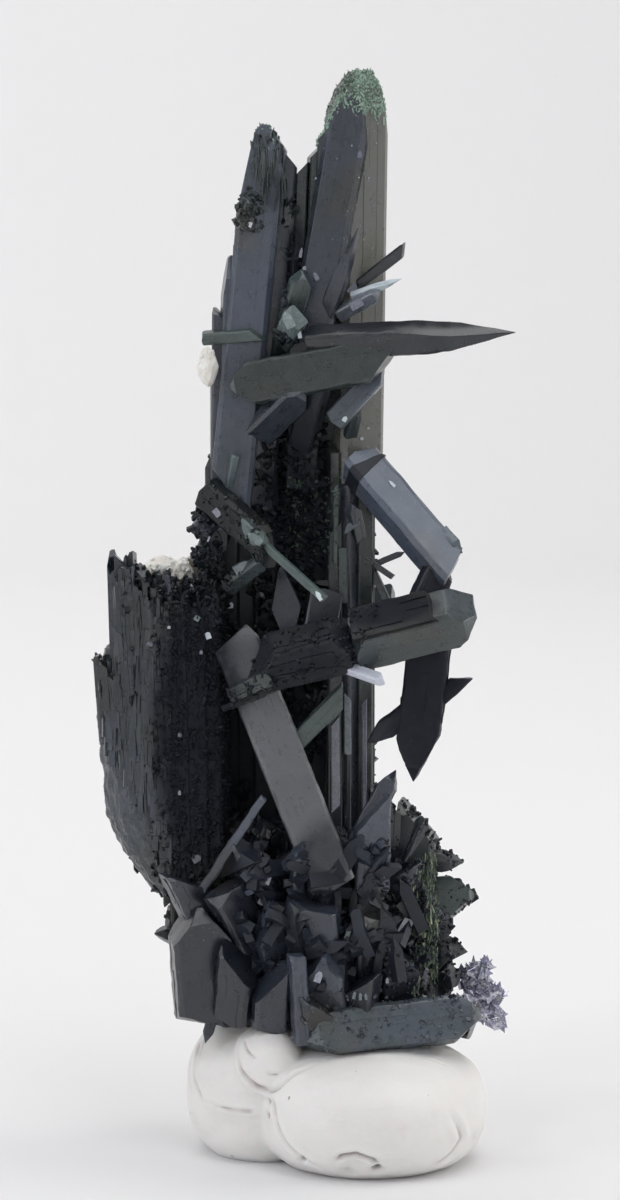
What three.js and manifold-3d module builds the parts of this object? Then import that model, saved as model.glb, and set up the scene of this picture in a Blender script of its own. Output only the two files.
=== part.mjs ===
// A cluster of black-green aegirine crystals: two tall prisms grown side by side, broad blades lying
// across them, a fibrous block on the left and a crust of small crystals round the base, standing in a
// lump of white putty.
// Millimetres, +Z up, the front faces -Y, and the origin is on the putty's flat underside.
import * as THREE from "three";
import { ConvexGeometry } from "three/addons/geometries/ConvexGeometry.js";
import { mergeVertices } from "three/addons/utils/BufferGeometryUtils.js";
import Module from "manifold-3d";

const wasm = await Module();
wasm.setup();

// Driving dimensions, mm
const specimenTop = 64.8; // height of the tallest prism's tip above the table
const rootFloor = 4.8; // how low the crystals' root reaches into the putty
const clearance = 0.32; // gap between neighbouring pieces of different stuff
const bevelShare = 0.12; // bevel along a prism's edges, as a share of its thinner side
const bevelFrom = 1.8; // prisms thinner than this have plain edges
const weldStep = 0.001; // vertices closer than this are one
const smallestDetail = 0.012; // facets thinner than this are merged into their neighbours

// A facet that finishes a crystal. around is the compass angle about its length: 0 its right side, 90 its
// back, 180 its left and 270 its front. steep is 0 for a square end and near 90 for a long taper. from is
// where the facet leaves the tip's level: 0 at the crystal's own line, 1 at the side it faces and -1 at the
// far side.
const facet = (around, steep, from = 0) => ({ around, steep, from });
const ends = {
  point: [facet(0, 64), facet(180, 67), facet(90, 56), facet(270, 58)],
  lance: [facet(0, 82), facet(180, 83.5), facet(90, 78), facet(270, 79)],
  chisel: [facet(0, 54, 0.1), facet(180, 50, 0.1), facet(270, 40, 0.3)],
  slantRight: [facet(0, 46, -0.9), facet(270, 35, 0.4)],
  slantLeft: [facet(180, 48, -0.9), facet(90, 35, 0.4)],
  blunt: [facet(40, 12, -0.8), facet(230, 34, 0.3)],
  leaf: [facet(0, 70, 0.1), facet(180, 74, 0.1), facet(270, 60, 0.5)],
  roof: [facet(180, 20, -0.7), facet(0, 66, 0.72), facet(270, 24, 0.5)],
  broken: [facet(180, 27, -0.85), facet(0, 50, 0.93), facet(270, 30, 0.8)],
  worn: [
    facet(0, 76, 0.35), facet(180, 66, 0.1), facet(90, 50, 0.5), facet(270, 58, 0.6), facet(190, 16, 0),
  ],
  nib: [
    facet(0, 50, 0.05), facet(180, 83, 0.48), facet(180, 51, 0.28), facet(90, 60, 0.3), facet(270, 66, 0.4),
  ],
};

// The same numbers every run, from 0 to 1.
function randomFrom(seed) {
  let state = seed >>> 0;
  return () => {
    state = (Math.imul(state, 1664525) + 1013904223) >>> 0;
    return state / 4294967296;
  };
}

// The value at x of a line drawn through [x, value] points.
function valueAt(line, x) {
  const next = line.findIndex(([start]) => start >= x);
  const last = next < 0 ? line.length - 1 : Math.max(1, next);
  const [[x0, v0], [x1, v1]] = [line[last - 1], line[last]];
  return v0 + (v1 - v0) * THREE.MathUtils.clamp((x - x0) / (x1 - x0), 0, 1);
}

// A three.js geometry as a solid that can be joined and cut.
function solidOf(geometry) {
  const bare = new THREE.BufferGeometry().setAttribute("position", geometry.getAttribute("position"));
  if (geometry.index) bare.setIndex(geometry.index);
  const merged = mergeVertices(bare, weldStep);
  const mesh = new wasm.Mesh({
    numProp: 3,
    vertProperties: merged.attributes.position.array,
    triVerts: new Uint32Array(merged.index.array),
  });
  return new wasm.Manifold(mesh);
}

// A solid as a three.js geometry.
function geometryOf(solid) {
  const mesh = solid.getMesh();
  const stride = mesh.numProp;
  const places = new Float32Array(mesh.numVert * 3);
  for (let i = 0; i < mesh.numVert; i++) {
    places.set(mesh.vertProperties.subarray(i * stride, i * stride + 3), i * 3);
  }
  const geometry = new THREE.BufferGeometry();
  geometry.setAttribute("position", new THREE.BufferAttribute(places, 3));
  geometry.setIndex(new THREE.BufferAttribute(new Uint32Array(mesh.triVerts), 1));
  geometry.computeVertexNormals();
  return geometry;
}

// A crystal's own directions: right and back across it, along from foot to tip. turn swings its broad face.
function frameAlong(foot, tip, turn) {
  const along = new THREE.Vector3().subVectors(tip, foot).normalize();
  const front = new THREE.Vector3(0, -1, 0);
  if (Math.abs(along.y) > 0.97) front.set(0, 0, 1);
  front.addScaledVector(along, -front.dot(along)).normalize();
  front.applyAxisAngle(along, THREE.MathUtils.degToRad(turn));
  const right = new THREE.Vector3().crossVectors(along, front);
  return new THREE.Matrix4().makeBasis(right, front.negate(), along).setPosition(foot);
}

// A crystal is listed by the middle of its foot and of its tip, its width and depth across, its turn, and
// the ends that finish its tip and, where that end is free, its foot.
const prism = (foot, tip, across, turn = 0, end = "point", footEnd = null) => ({
  foot: new THREE.Vector3(...foot),
  tip: new THREE.Vector3(...tip),
  width: across[0],
  depth: across[1],
  turn,
  end,
  footEnd,
});

// The same crystal made larger all round, for cutting room for it.
function enlarged(crystal, by) {
  const along = new THREE.Vector3().subVectors(crystal.tip, crystal.foot).setLength(by);
  return {
    ...crystal,
    foot: crystal.foot.clone().sub(along),
    tip: crystal.tip.clone().add(along),
    width: crystal.width + 2 * by,
    depth: crystal.depth + 2 * by,
  };
}

// The solid of one crystal: a prism with bevelled edges, cut to its facets.
function crystalSolid({ foot, tip, width, depth, turn, end, footEnd }) {
  const length = foot.distanceTo(tip);
  const [w, d] = [width / 2, depth / 2];
  const c = Math.min(width, depth) < bevelFrom ? 0 : Math.min(width, depth) * bevelShare;
  const corners = [[-1, -1], [1, -1], [1, 1], [-1, 1]].flatMap(([x, y]) => {
    const shortOfSide = new THREE.Vector2(x * (w - c), y * d);
    const shortOfFront = new THREE.Vector2(x * w, y * (d - c));
    if (c === 0) return [shortOfSide];
    return x * y > 0 ? [shortOfSide, shortOfFront].reverse() : [shortOfSide, shortOfFront];
  });
  const outline = new THREE.Shape(corners);
  let solid = solidOf(new THREE.ExtrudeGeometry(outline, { depth: length, bevelEnabled: false }));
  const cut = (facets, level, way) => {
    for (const { around, steep, from } of facets) {
      const [a, s] = [THREE.MathUtils.degToRad(around), THREE.MathUtils.degToRad(steep)];
      const reach = from * (Math.abs(Math.cos(a)) * w + Math.abs(Math.sin(a)) * d);
      const inward = [-Math.cos(a) * Math.sin(s), -Math.sin(a) * Math.sin(s), -Math.cos(s) * way];
      solid = solid.trimByPlane(inward, -reach * Math.sin(s) + inward[2] * level);
    }
  };
  cut(ends[end], length, 1);
  if (footEnd) cut(ends[footEnd], 0, -1);
  return solid.transform(frameAlong(foot, tip, turn).elements);
}

// The two tall prisms, their parallel sub-crystals and the flat ribs of the right one's lower half.
const uprights = [
  prism([0.95, 1.7, 38.5], [1.3, 1.6, specimenTop], [2.9, 3.3], 27, "worn", "slantRight"),
  prism([0.35, 1.7, 11], [0.45, 1.7, 43], [2.9, 3.2], 27, "blunt"),
  prism([-1.9, 0.2, 46], [1.25, 0.2, 63.9], [2.5, 2.6], -8, "worn"),
  prism([-1.5, 0.5, 40], [-0.65, 0.5, 61.5], [0.75, 2.2], 0, "slantLeft"),
  prism([-2.0, 0.7, 40], [-1.2, 0.7, 60.4], [0.7, 2.2], 6, "slantLeft"),
  prism([-2.5, 0.9, 40], [-1.85, 0.9, 59.4], [0.7, 2.0], -6, "slantLeft"),
  prism([-6.3, -0.2, 38.6], [-4.0, -0.1, 61.6], [2.5, 2.3], -4, "nib", "slantLeft"),
  prism([-4.6, 0.9, 38], [-3.05, 0.9, 60.8], [1.7, 2.2], 4, "slantRight"),
  prism([-6.5, 0.1, 38.3], [-6.1, 0.1, 53.9], [1.15, 2.1], 6, "nib", "slantLeft"),
  prism([-6.9, 0.5, 37.5], [-6.75, 0.5, 50.8], [1.0, 2.0], -5, "slantRight"),
  prism([-6.95, 0.8, 36.5], [-6.95, 0.8, 46.6], [0.9, 1.8], 8, "slantRight"),
  prism([-0.1, -0.6, 17], [-0.1, -0.4, 38.2], [0.9, 1.5], 12, "slantLeft"),
  prism([0.8, -0.3, 17], [0.8, -0.2, 40.4], [1.1, 1.6], -30, "blunt"),
  prism([1.7, 0.3, 17], [1.7, 0.3, 41], [1.0, 1.6], 8, "slantRight"),
];

// Columns behind the uprights that tie them together.
const spine = { first: -6.5, step: 1.16, back: 2.3, across: [1.55, 2.7], floor: 11, drift: 0.35 };
const spineTops = [45.5, 54.5, 57.6, 57.4, 58.4, 57, 61.4, 62.3];

function spineColumns() {
  return spineTops.map((top, i) => {
    const x = spine.first + spine.step * i;
    const y = spine.back + spine.drift * Math.sin(i * 2.4);
    return prism([x, y, spine.floor], [x, y, top], spine.across, 0, i % 2 ? "slantRight" : "slantLeft");
  });
}

// Broad blades that lie across the uprights.
const blades = [
  prism([-1.5, -2.2, 48.8], [10.6, -6.0, 49.55], [1.75, 1.5], 32, "lance"),
  prism([-6.2, -1.4, 46.1], [4.4, -3.7, 48.3], [2.6, 1.6], -6, "slantRight", "chisel"),
  prism([1.1, -0.8, 42.0], [7.15, -4.2, 35.05], [2.3, 2.2], -26, "broken", "blunt"),
  prism([6.3, -3.4, 37.7], [7.5, -4.3, 36.5], [0.6, 0.9], -26, "point"),
  prism([-6.3, -4.9, 29.5], [8.2, -6.0, 33.2], [2.9, 2.7], 38, "chisel", "slantLeft"),
  prism([0.0, -5.4, 16.6], [-6.15, -4.05, 31.9], [2.7, 1.6], 6, "roof", "blunt"),
  prism([-7.8, -0.9, 40.0], [-3.4, -4.6, 36.4], [1.8, 1.3], 24, "slantLeft", "blunt"),
  prism([-4.4, -4.0, 37.2], [-0.6, -6.6, 34.0], [0.45, 0.42], 20, "blunt"),
  prism([-3.2, -4.3, 24.4], [0.8, -4.3, 28.5], [1.1, 0.9], 0, "slantRight", "blunt"),
];

// The dark plate that hangs behind the lower blade with a barb on either side, and the stub above it.
const hanging = [
  prism([5.7, -4.4, 32.5], [4.6, -4.2, 22.9], [2.5, 1.2], 10, "point"),
  prism([4.7, -4.3, 26.6], [7.8, -4.2, 29.4], [0.9, 0.7], 0, "slantLeft"),
  prism([5.2, -4.3, 27.7], [1.9, -4.0, 25.2], [1.2, 0.8], 0, "point"),
  prism([6.2, -3.9, 35.6], [4.6, -4.6, 32.4], [1.9, 1.2], -14, "blunt", "blunt"),
];

// Small crystals that can be told apart on the upper half.
const sprigs = [
  prism([0.7, 0.5, 51.6], [4.25, -1.3, 54.4], [0.65, 0.6], 0, "slantRight"),
  prism([1.0, -0.8, 51.5], [4.0, -2.2, 52.6], [0.46, 0.4], 35, "lance"),
  prism([-0.5, -0.8, 50.4], [1.4, -2.3, 55.7], [1.0, 0.7], -20, "lance"),
  prism([0.2, -0.8, 50.4], [2.6, -2.0, 51.7], [0.8, 0.7], 20, "chisel"),
  prism([-3.4, 0.4, 47.6], [-1.9, -2.4, 52.9], [1.3, 0.9], 20, "chisel"),
  prism([-3.0, -0.2, 48.8], [-2.3, -3.0, 50.4], [1.4, 1.0], -24, "blunt"),
  prism([-0.2, -2.2, 44.0], [2.8, -2.4, 47.3], [1.3, 0.9], -12, "chisel", "blunt"),
  prism([0.9, -0.6, 43.2], [1.3, -2.0, 45.0], [0.8, 0.5], 30, "point"),
  prism([-4.6, -0.6, 43.4], [-1.8, -2.9, 46.2], [1.9, 1.3], 30, "chisel"),
  prism([-2.0, 0.0, 42.6], [-1.0, -2.6, 46.6], [1.5, 1.2], -20, "blunt"),
  prism([-2.6, 0.8, 49.5], [-2.3, -0.3, 54.8], [0.8, 0.8], 30, "point"),
  prism([-2.9, 0.6, 54.0], [-2.6, -0.2, 57.2], [0.8, 0.7], -10, "slantRight"),
  prism([-7.9, -0.5, 49.0], [-4.2, -1.6, 49.3], [0.75, 0.8], 15, "slantLeft", "blunt"),
  prism([-5.4, -0.5, 55.2], [-5.2, -1.8, 57.2], [1.0, 0.8], 40, "chisel"),
  prism([-4.6, -0.6, 55.6], [-5.85, -1.8, 56.0], [0.9, 0.8], 10, "chisel"),
  prism([-6.7, -0.7, 38.6], [-5.9, -2.2, 42.2], [0.42, 0.42], 20, "blunt"),
  prism([-7.5, 0.6, 37.4], [-7.5, 0.4, 41.9], [0.55, 0.7], 0, "point"),
  prism([-6.4, -2.2, 34.2], [-4.1, -4.1, 36.2], [0.9, 0.8], 25, "chisel", "blunt"),
  prism([-7.0, -0.2, 38.6], [-8.2, -1.9, 37.4], [1.2, 0.9], 20, "blunt"),
  prism([-6.9, 0.4, 36.2], [-8.3, -0.8, 38.9], [0.9, 0.8], 20, "point"),
  prism([-7.3, 1.0, 34.4], [-8.4, -0.4, 36.3], [0.8, 0.8], 0, "chisel"),
  prism([-7.0, 0.9, 33.4], [-7.8, -0.5, 37.0], [1.5, 1.1], 10, "chisel"),
  prism([-13.4, -1.0, 29.3], [-14.6, -1.4, 29.9], [0.6, 0.6], 0, "point"),
  prism([0.3, -5.2, 30.0], [2.8, -7.0, 29.3], [0.65, 0.6], -40, "chisel"),
  prism([1.8, 0.2, 35.2], [4.2, 0.0, 36.2], [0.34, 0.34], 0, "point"),
  prism([1.8, 0.2, 35.8], [3.5, -0.5, 34.7], [0.36, 0.34], 0, "blunt"),
  prism([2.1, 0.1, 35.4], [3.5, -0.9, 32.5], [0.45, 0.4], 20, "blunt"),
  prism([-2.7, -1.7, 30.5], [-3.2, -1.0, 35.4], [2.0, 0.9], -6, "leaf", "leaf"),
  prism([-2.9, 1.4, 32.6], [-2.9, -1.3, 33.0], [0.9, 0.9], 0, "blunt"),
  prism([-1.1, -1.7, 30.9], [-0.5, -1.3, 34.2], [2.0, 1.0], 10, "blunt", "blunt"),
  prism([-0.8, 1.4, 32.2], [-0.8, -1.3, 32.6], [0.9, 0.9], 0, "blunt"),
  prism([1.5, -0.2, 37.0], [1.0, -1.8, 39.2], [0.8, 0.6], 20, "chisel"),
];

// Small crystals that line the hollow between the left block and the right prism.
const hollow = { count: 17, x: [-7.4, -0.4], z: [19, 44], back: 1.2, seed: 5 };
const hollowReach = [1.2, 2.6];
const hollowWidth = [0.5, 1.1];

function hollowCrystals() {
  const random = randomFrom(hollow.seed);
  const pick = ([low, high]) => low + (high - low) * random();
  return Array.from({ length: hollow.count }, (_, i) => {
    const [x, z, width] = [pick(hollow.x), pick(hollow.z), pick(hollowWidth)];
    const out = new THREE.Vector3((random() - 0.5) * 1.2, -0.8, random() * 1.4 - 0.2);
    out.setLength(pick(hollowReach));
    const end = ["point", "chisel", "blunt"][i % 3];
    const tip = [x + out.x, hollow.back + out.y, z + out.z];
    return prism([x, hollow.back + 0.3, z - 0.3], tip, [width, width * 0.7], random() * 90, end);
  });
}

// The larger crystals of the base.
const baseCrystals = [
  prism([1.2, -3.8, 19.2], [3.65, -3.6, 23.6], [1.1, 1], -14, "point"),
  prism([2.1, -4.3, 14.6], [2.2, -4.8, 22.2], [2.1, 1.2], 8, "slantLeft", "slantRight"),
  prism([-8.1, -4.4, 16.2], [-4.2, -6, 22.3], [0.5, 0.45], 0, "blunt"),
  prism([-2.4, -4.6, 14.4], [-2.1, -6.2, 19.4], [0.8, 0.7], 20, "chisel"),
  prism([-2.8, -5.9, 7.9], [8.7, -4, 8.8], [2.7, 2.2], -20, "chisel", "point"),
  prism([-2, -5.9, 7.6], [-2.3, -7, 13.2], [0.95, 1.1], 18, "blunt"),
  prism([-7.6, -3.2, 8.4], [-8.1, -4.7, 15.6], [3.7, 2.6], 10, "chisel", "blunt"),
  prism([-6, -4.4, 8.6], [-5.6, -6, 13.4], [2.2, 2.2], -18, "slantRight", "blunt"),
  prism([-3.9, -4.6, 8.2], [-3.8, -6.5, 12.4], [2.1, 1.9], 10, "slantLeft", "blunt"),
  prism([-7.3, -3.8, 8.8], [-7.75, -4.2, 7.1], [0.6, 0.6], 0, "point"),
  prism([-7.2, -3.2, 13], [-9.3, -4.6, 17.9], [2.2, 1.8], 24, "slantRight"),
  prism([-4.9, -3.6, 13], [-6.6, -5.6, 16.9], [2.4, 1.5], 30, "blunt"),
  prism([-3.8, -3.6, 15], [-5.2, -5.6, 19.6], [1.8, 1.3], -24, "slantRight"),
  prism([-3.4, -4, 11.8], [-4.4, -6.3, 15.6], [2, 1.6], 16, "slantLeft"),
  prism([-1.1, -3.8, 10.8], [-1.4, -6, 16.2], [3.2, 1.9], -12, "blunt"),
  prism([-1.8, -4, 15], [-0.7, -5.4, 18.6], [2.2, 1.4], -16, "slantLeft"),
  prism([-0.3, -4.6, 9.2], [-0.7, -6.5, 12.9], [2.2, 1.6], -12, "chisel"),
  prism([-0.8, -5, 7.8], [-1, -6.6, 10.9], [2.4, 1.6], 15, "slantRight"),
  prism([2, -3.4, 10.6], [2.1, -5.5, 15.4], [2, 1.6], 22, "blunt"),
  prism([3.5, -3.4, 9.8], [4.1, -5.2, 13.7], [2.3, 1.6], 24, "slantRight"),
  prism([1.4, -4.6, 9], [1.7, -6.1, 12], [1.9, 1.5], -26, "slantLeft"),
  prism([3.4, -2.4, 13.6], [4.2, -3.9, 18.4], [2, 1.4], -22, "slantLeft"),
  prism([5, -1.8, 12.6], [6, -3.2, 16.4], [1.6, 1.4], 20, "slantRight"),
  prism([-8.6, 0.5, 12.8], [-10.9, -1.2, 13.2], [1.1, 1], 10, "point"),
];

// The crust on the right: thin plates and spikes along a slanting slab.
const rightCrust = [
  prism([2.8, 0.8, 12.0], [3.4, 0.8, 22.2], [3.0, 3.4], 10, "slantRight"),
  prism([4.6, 0.6, 9.6], [5.1, 0.6, 21.0], [2.4, 3.2], -8, "slantRight"),
  prism([4.6, 0.0, 17.6], [7.85, -0.4, 17.45], [1.2, 1.0], 12, "point"),
  prism([4.6, 0.4, 14.9], [8.45, 0.2, 15.3], [2.6, 1.0], -24, "chisel"),
  prism([4.8, 0.4, 12.3], [8.1, -0.2, 11.9], [1.4, 1.2], 20, "point"),
  prism([5.0, 0.2, 10.2], [7.6, -0.4, 10.3], [1.8, 1.4], 15, "chisel"),
  prism([4.0, -0.4, 17.0], [5.4, -1.0, 20.2], [0.8, 0.8], 30, "chisel"),
  prism([4.4, 1.4, 8.8], [7.2, 1.2, 10.8], [2.4, 2.4], 24, "chisel"),
  prism([4.8, -0.8, 8.5], [8.6, -2.2, 7.9], [2.0, 1.8], -10, "blunt"),
];

// Crystals on the back.
const backCrystals = [
  prism([-3.0, 2.6, 27.0], [3.6, 5.2, 33.4], [2.2, 1.5], 150, "chisel", "point"),
  prism([1.6, 2.8, 24.0], [-6.8, 5.4, 21.8], [2.0, 1.6], 200, "point", "blunt"),
  prism([-1.4, 3.0, 39.5], [-5.8, 4.7, 44.6], [1.3, 1.0], 170, "point", "chisel"),
  prism([-6.2, 2.6, 15.0], [-3.4, 6.2, 20.2], [1.8, 1.3], 30, "chisel"),
  prism([0.2, 2.8, 12.6], [2.8, 6.0, 18.4], [2.0, 1.4], -20, "point"),
  prism([-2.2, 3.4, 10.2], [-1.0, 6.6, 15.0], [2.2, 1.5], 12, "chisel"),
  prism([3.4, 2.8, 10.2], [5.0, 5.2, 13.6], [1.7, 1.3], 35, "chisel"),
  prism([-7.2, 2.4, 10.0], [-8.2, 5.2, 14.0], [2.0, 1.4], -25, "blunt"),
];

// The fibrous block: upright columns in rows round a smooth core. Their tops are ragged, and their feet
// climb to the left.
const blockTops = [
  [-14.1, 29.8], [-13.2, 30.9], [-12.9, 36.4], [-12.1, 36.9], [-11.6, 35.7], [-11, 34.9], [-8, 34.6],
];
const blockFeet = [
  [-14.1, 26], [-13.6, 24], [-12.6, 21.6], [-11.4, 20], [-10.6, 16.6], [-9.8, 13.2], [-8, 11.6],
];
const blockRows = [
  { y: -2.5, from: -13.3, count: 8, step: 0.82, across: [1.2, 1.8], drop: 0.9 },
  { y: -1.0, from: -13.75, count: 7, step: 1.05, across: [1.4, 2.4], drop: 0 },
  { y: 0.9, from: -12.5, count: 5, step: 1.1, across: [1.6, 2.4], drop: 1.6 },
  { y: 2.7, from: -12.2, count: 5, step: 1.2, across: [1.8, 2.0], drop: 2.4 },
];
const blockLean = 0.35; // how much further left a column's top is than its foot
const blockSeed = 11;

function blockColumns() {
  const random = randomFrom(blockSeed);
  return blockRows.flatMap(({ y, from, count, step, across, drop }) =>
    Array.from({ length: count }, (_, i) => {
      const x = from + step * i + (random() - 0.5) * 0.2;
      const top = valueAt(blockTops, x) - drop - random() * 0.7;
      const floor = valueAt(blockFeet, x) + Math.abs(y) * 0.3 + random() * 0.5;
      const depth = y + (random() - 0.5) * 0.5;
      const end = i % 2 ? "slantLeft" : "slantRight";
      const foot = [x + blockLean, depth * 0.85, floor];
      return prism(foot, [x, depth, top], across, (random() - 0.5) * 26, end, end);
    }),
  );
}

// Solid masses, each a stack of oval rings: how far it reaches left and right, and front and back, at each
// height.
const blockCore = [
  { z: 15.6, x: [-10.9, -7.2], y: [-2.0, 2.2] },
  { z: 18.1, x: [-12.8, -7.0], y: [-2.7, 2.8] },
  { z: 20.4, x: [-13.8, -7.0], y: [-2.9, 3.2] },
  { z: 26.0, x: [-14.3, -7.2], y: [-2.9, 3.2] },
  { z: 30.4, x: [-13.9, -7.6], y: [-2.3, 2.8] },
];

// The one at the base narrows to its root in the putty.
const core = [
  { z: rootFloor, x: [-5.4, 5.0], y: [-3.2, 3.2] },
  { z: 8.6, x: [-8.2, 6.6], y: [-4.2, 4.2] },
  { z: 13.0, x: [-9.6, 6.0], y: [-4.8, 4.6] },
  { z: 17.4, x: [-9.2, 4.6], y: [-3.4, 3.8] },
  { z: 20.0, x: [-7.6, 2.0], y: [-1.4, 2.8] },
];

// The point at angle a round a mass's oval outline at height z.
function outlineAt(rings, z, a, grow = 0) {
  const side = (axis, i) => valueAt(rings.map((ring) => [ring.z, ring[axis][i]]), z);
  const [left, right, front, back] = [side("x", 0), side("x", 1), side("y", 0), side("y", 1)];
  const x = (left + right) / 2 + ((right - left) / 2 + grow) * Math.cos(a);
  const y = (front + back) / 2 + ((back - front) / 2 + grow) * Math.sin(a);
  return new THREE.Vector3(x, y, z);
}

function massSolid(rings, grow = 0) {
  const sides = 9;
  const corners = rings.flatMap(({ z }, level) =>
    Array.from({ length: sides }, (_, i) => {
      const a = ((i + level * 0.5) / sides) * Math.PI * 2;
      return outlineAt(rings, z, a, grow);
    }),
  );
  const below = corners.slice(0, sides).map((corner) => corner.clone().setZ(corner.z - grow));
  const above = corners.slice(-sides).map((corner) => corner.clone().setZ(corner.z + grow));
  return solidOf(new ConvexGeometry([...corners, ...below, ...above]));
}

// Small crystals all round the core, leaning up and out of it.
const crust = { count: 42, z: [9.8, 19.6], seed: 29, width: [0.8, 1.7], reach: [0.7, 2.0] };

function crustCrystals() {
  const random = randomFrom(crust.seed);
  const goldenAngle = Math.PI * (3 - Math.sqrt(5));
  return Array.from({ length: crust.count }, (_, i) => {
    const z = THREE.MathUtils.lerp(...crust.z, (i + 0.5) / crust.count);
    const a = i * goldenAngle + random() * 0.5;
    const skin = outlineAt(core, z, a);
    const out = new THREE.Vector3(Math.cos(a) * 0.7, Math.sin(a) * 0.9, 0.1 + random() * 1.3).normalize();
    const width = THREE.MathUtils.lerp(...crust.width, random());
    const tip = skin.clone().addScaledVector(out, THREE.MathUtils.lerp(...crust.reach, random()));
    const foot = skin.clone().addScaledVector(out, -1.4);
    const end = ["point", "chisel", "slantLeft", "blunt"][i % 4];
    return prism(foot, tip, [width, width * (0.55 + random() * 0.35)], random() * 180, end);
  });
}

const grownTogether = [
  uprights,
  spineColumns(),
  blades,
  hanging,
  sprigs,
  hollowCrystals(),
  baseCrystals,
  rightCrust,
  backCrystals,
  blockColumns(),
  crustCrystals(),
].flat();

// One closed skin: the largest body of a solid, with no pockets shut inside it and no slivers.
function largestBody(solid) {
  return solid.simplify(smallestDetail).decompose().reduce((a, b) => (a.volume() > b.volume() ? a : b));
}

// Everything that has grown together, as one solid.
function aegirineCluster() {
  return largestBody(
    wasm.Manifold.union([massSolid(core), massSolid(blockCore), ...grownTogether.map(crystalSolid)]),
  );
}

// The room that the crystals need, with clearance, in whatever touches them.
const room = wasm.Manifold.union([
  massSolid(core, clearance),
  massSolid(blockCore, clearance),
  ...grownTogether.map((each) => crystalSolid(enlarged(each, clearance))),
]);

// A squashed ball of putty: flat underneath where it sits, with full sides.
function puttyLobe({ centre, radius, fullness }) {
  const ball = new THREE.SphereGeometry(1, 20, 9).rotateX(Math.PI / 2);
  const place = ball.getAttribute("position");
  for (let i = 0; i < place.count; i++) {
    const [x, y, z] = [place.getX(i), place.getY(i), place.getZ(i)];
    const round = Math.hypot(x, y);
    const full = round > 0 ? Math.max(0, 1 - Math.abs(z) ** fullness) ** (1 / fullness) / round : 0;
    const spot = [x * full * radius[0], y * full * radius[1], z * radius[2]];
    place.setXYZ(i, ...spot.map((value, axis) => centre[axis] + value));
  }
  return solidOf(ball).trimByPlane([0, 0, 1], 0);
}

const puttyLobes = [
  { centre: [-4.3, -0.2, 3.6], radius: [4.7, 6.0, 4.7], fullness: 2.3 },
  { centre: [2.1, -3.3, 3.2], radius: [6.95, 7.2, 3.9], fullness: 2.7 },
  { centre: [-4.0, -4.3, 5.9], radius: [2.1, 2.4, 2.5], fullness: 2.2 },
  { centre: [1.2, 1.8, 3.2], radius: [5.8, 4.8, 4.4], fullness: 2.3 },
];

// The putty, pressed up round the crystals' root.
function puttyBase() {
  return largestBody(wasm.Manifold.union(puttyLobes.map(puttyLobe)).subtract(room));
}

// A crumb of feldspar: a few angular lumps run together.
function feldsparGrain(lumps, seed) {
  const random = randomFrom(seed);
  const solids = lumps.map(({ centre, radius }) => {
    const ball = new THREE.IcosahedronGeometry(1, 1).deleteAttribute("normal").deleteAttribute("uv");
    const lump = mergeVertices(ball);
    const place = lump.getAttribute("position");
    for (let i = 0; i < place.count; i++) {
      const swell = 0.82 + 0.36 * random();
      const [x, y, z] = [place.getX(i), place.getY(i), place.getZ(i)].map((v, k) => v * radius[k] * swell);
      place.setXYZ(i, centre[0] + x, centre[1] + y, centre[2] + z);
    }
    return solidOf(lump);
  });
  return largestBody(wasm.Manifold.union(solids).subtract(room));
}

const upperGrain = [{ centre: [-7.55, -1.75, 47.4], radius: [0.6, 0.55, 1.15] }];
const lowerGrain = [
  { centre: [-10.3, 1.0, 34.9], radius: [1.25, 0.9, 0.95] },
  { centre: [-8.9, 1.1, 35.0], radius: [1.05, 0.9, 0.85] },
];

// Silvery flakes: thin plates fanned out from the right of the base.
const flakes = [
  prism([8.0, 0.6, 10.0], [9.4, 0.2, 11.1], [1.3, 0.5], 20, "chisel"),
  prism([7.9, 0.7, 9.4], [9.9, 0.3, 10.2], [1.4, 0.45], -30, "slantLeft"),
  prism([7.9, 0.8, 9.2], [10.2, 1.0, 8.6], [1.5, 0.45], 35, "blunt"),
  prism([8.0, 0.9, 9.2], [10.4, 1.3, 7.0], [1.3, 0.45], -10, "chisel"),
  prism([7.9, 1.0, 9.0], [9.0, 1.2, 7.6], [1.2, 0.5], 30, "slantRight"),
  prism([7.8, 1.4, 9.6], [9.5, 2.2, 9.8], [1.4, 0.5], 70, "chisel"),
];

function silveryFlakes() {
  return largestBody(wasm.Manifold.union(flakes.map(crystalSolid)).subtract(room));
}

const materials = {
  aegirine: new THREE.MeshStandardMaterial({ color: 0x1a1f1e, roughness: 0.28, metalness: 0 }),
  feldspar: new THREE.MeshStandardMaterial({ color: 0xded9cf, roughness: 0.55, metalness: 0 }),
  flakes: new THREE.MeshStandardMaterial({ color: 0xaeb0bd, roughness: 0.25, metalness: 0.1 }),
  putty: new THREE.MeshStandardMaterial({ color: 0xe6e1dc, roughness: 0.75, metalness: 0 }),
};

function part(name, solid, material) {
  const mesh = new THREE.Mesh(geometryOf(solid), material);
  mesh.name = name;
  return mesh;
}

const specimen = new THREE.Group();
specimen.add(part("aegirine_cluster", aegirineCluster(), materials.aegirine));
specimen.add(part("putty_base", puttyBase(), materials.putty));
specimen.add(part("feldspar_grain_upper", feldsparGrain(upperGrain, 3), materials.feldspar));
specimen.add(part("feldspar_grain_lower", feldsparGrain(lowerGrain, 8), materials.feldspar));
specimen.add(part("silvery_flakes", silveryFlakes(), materials.flakes));

export default specimen;
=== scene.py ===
import math
from contextlib import contextmanager

import bmesh
import bpy
import numpy as np
from mathutils import Matrix, Vector, noise
from mathutils.bvhtree import BVHTree


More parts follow.
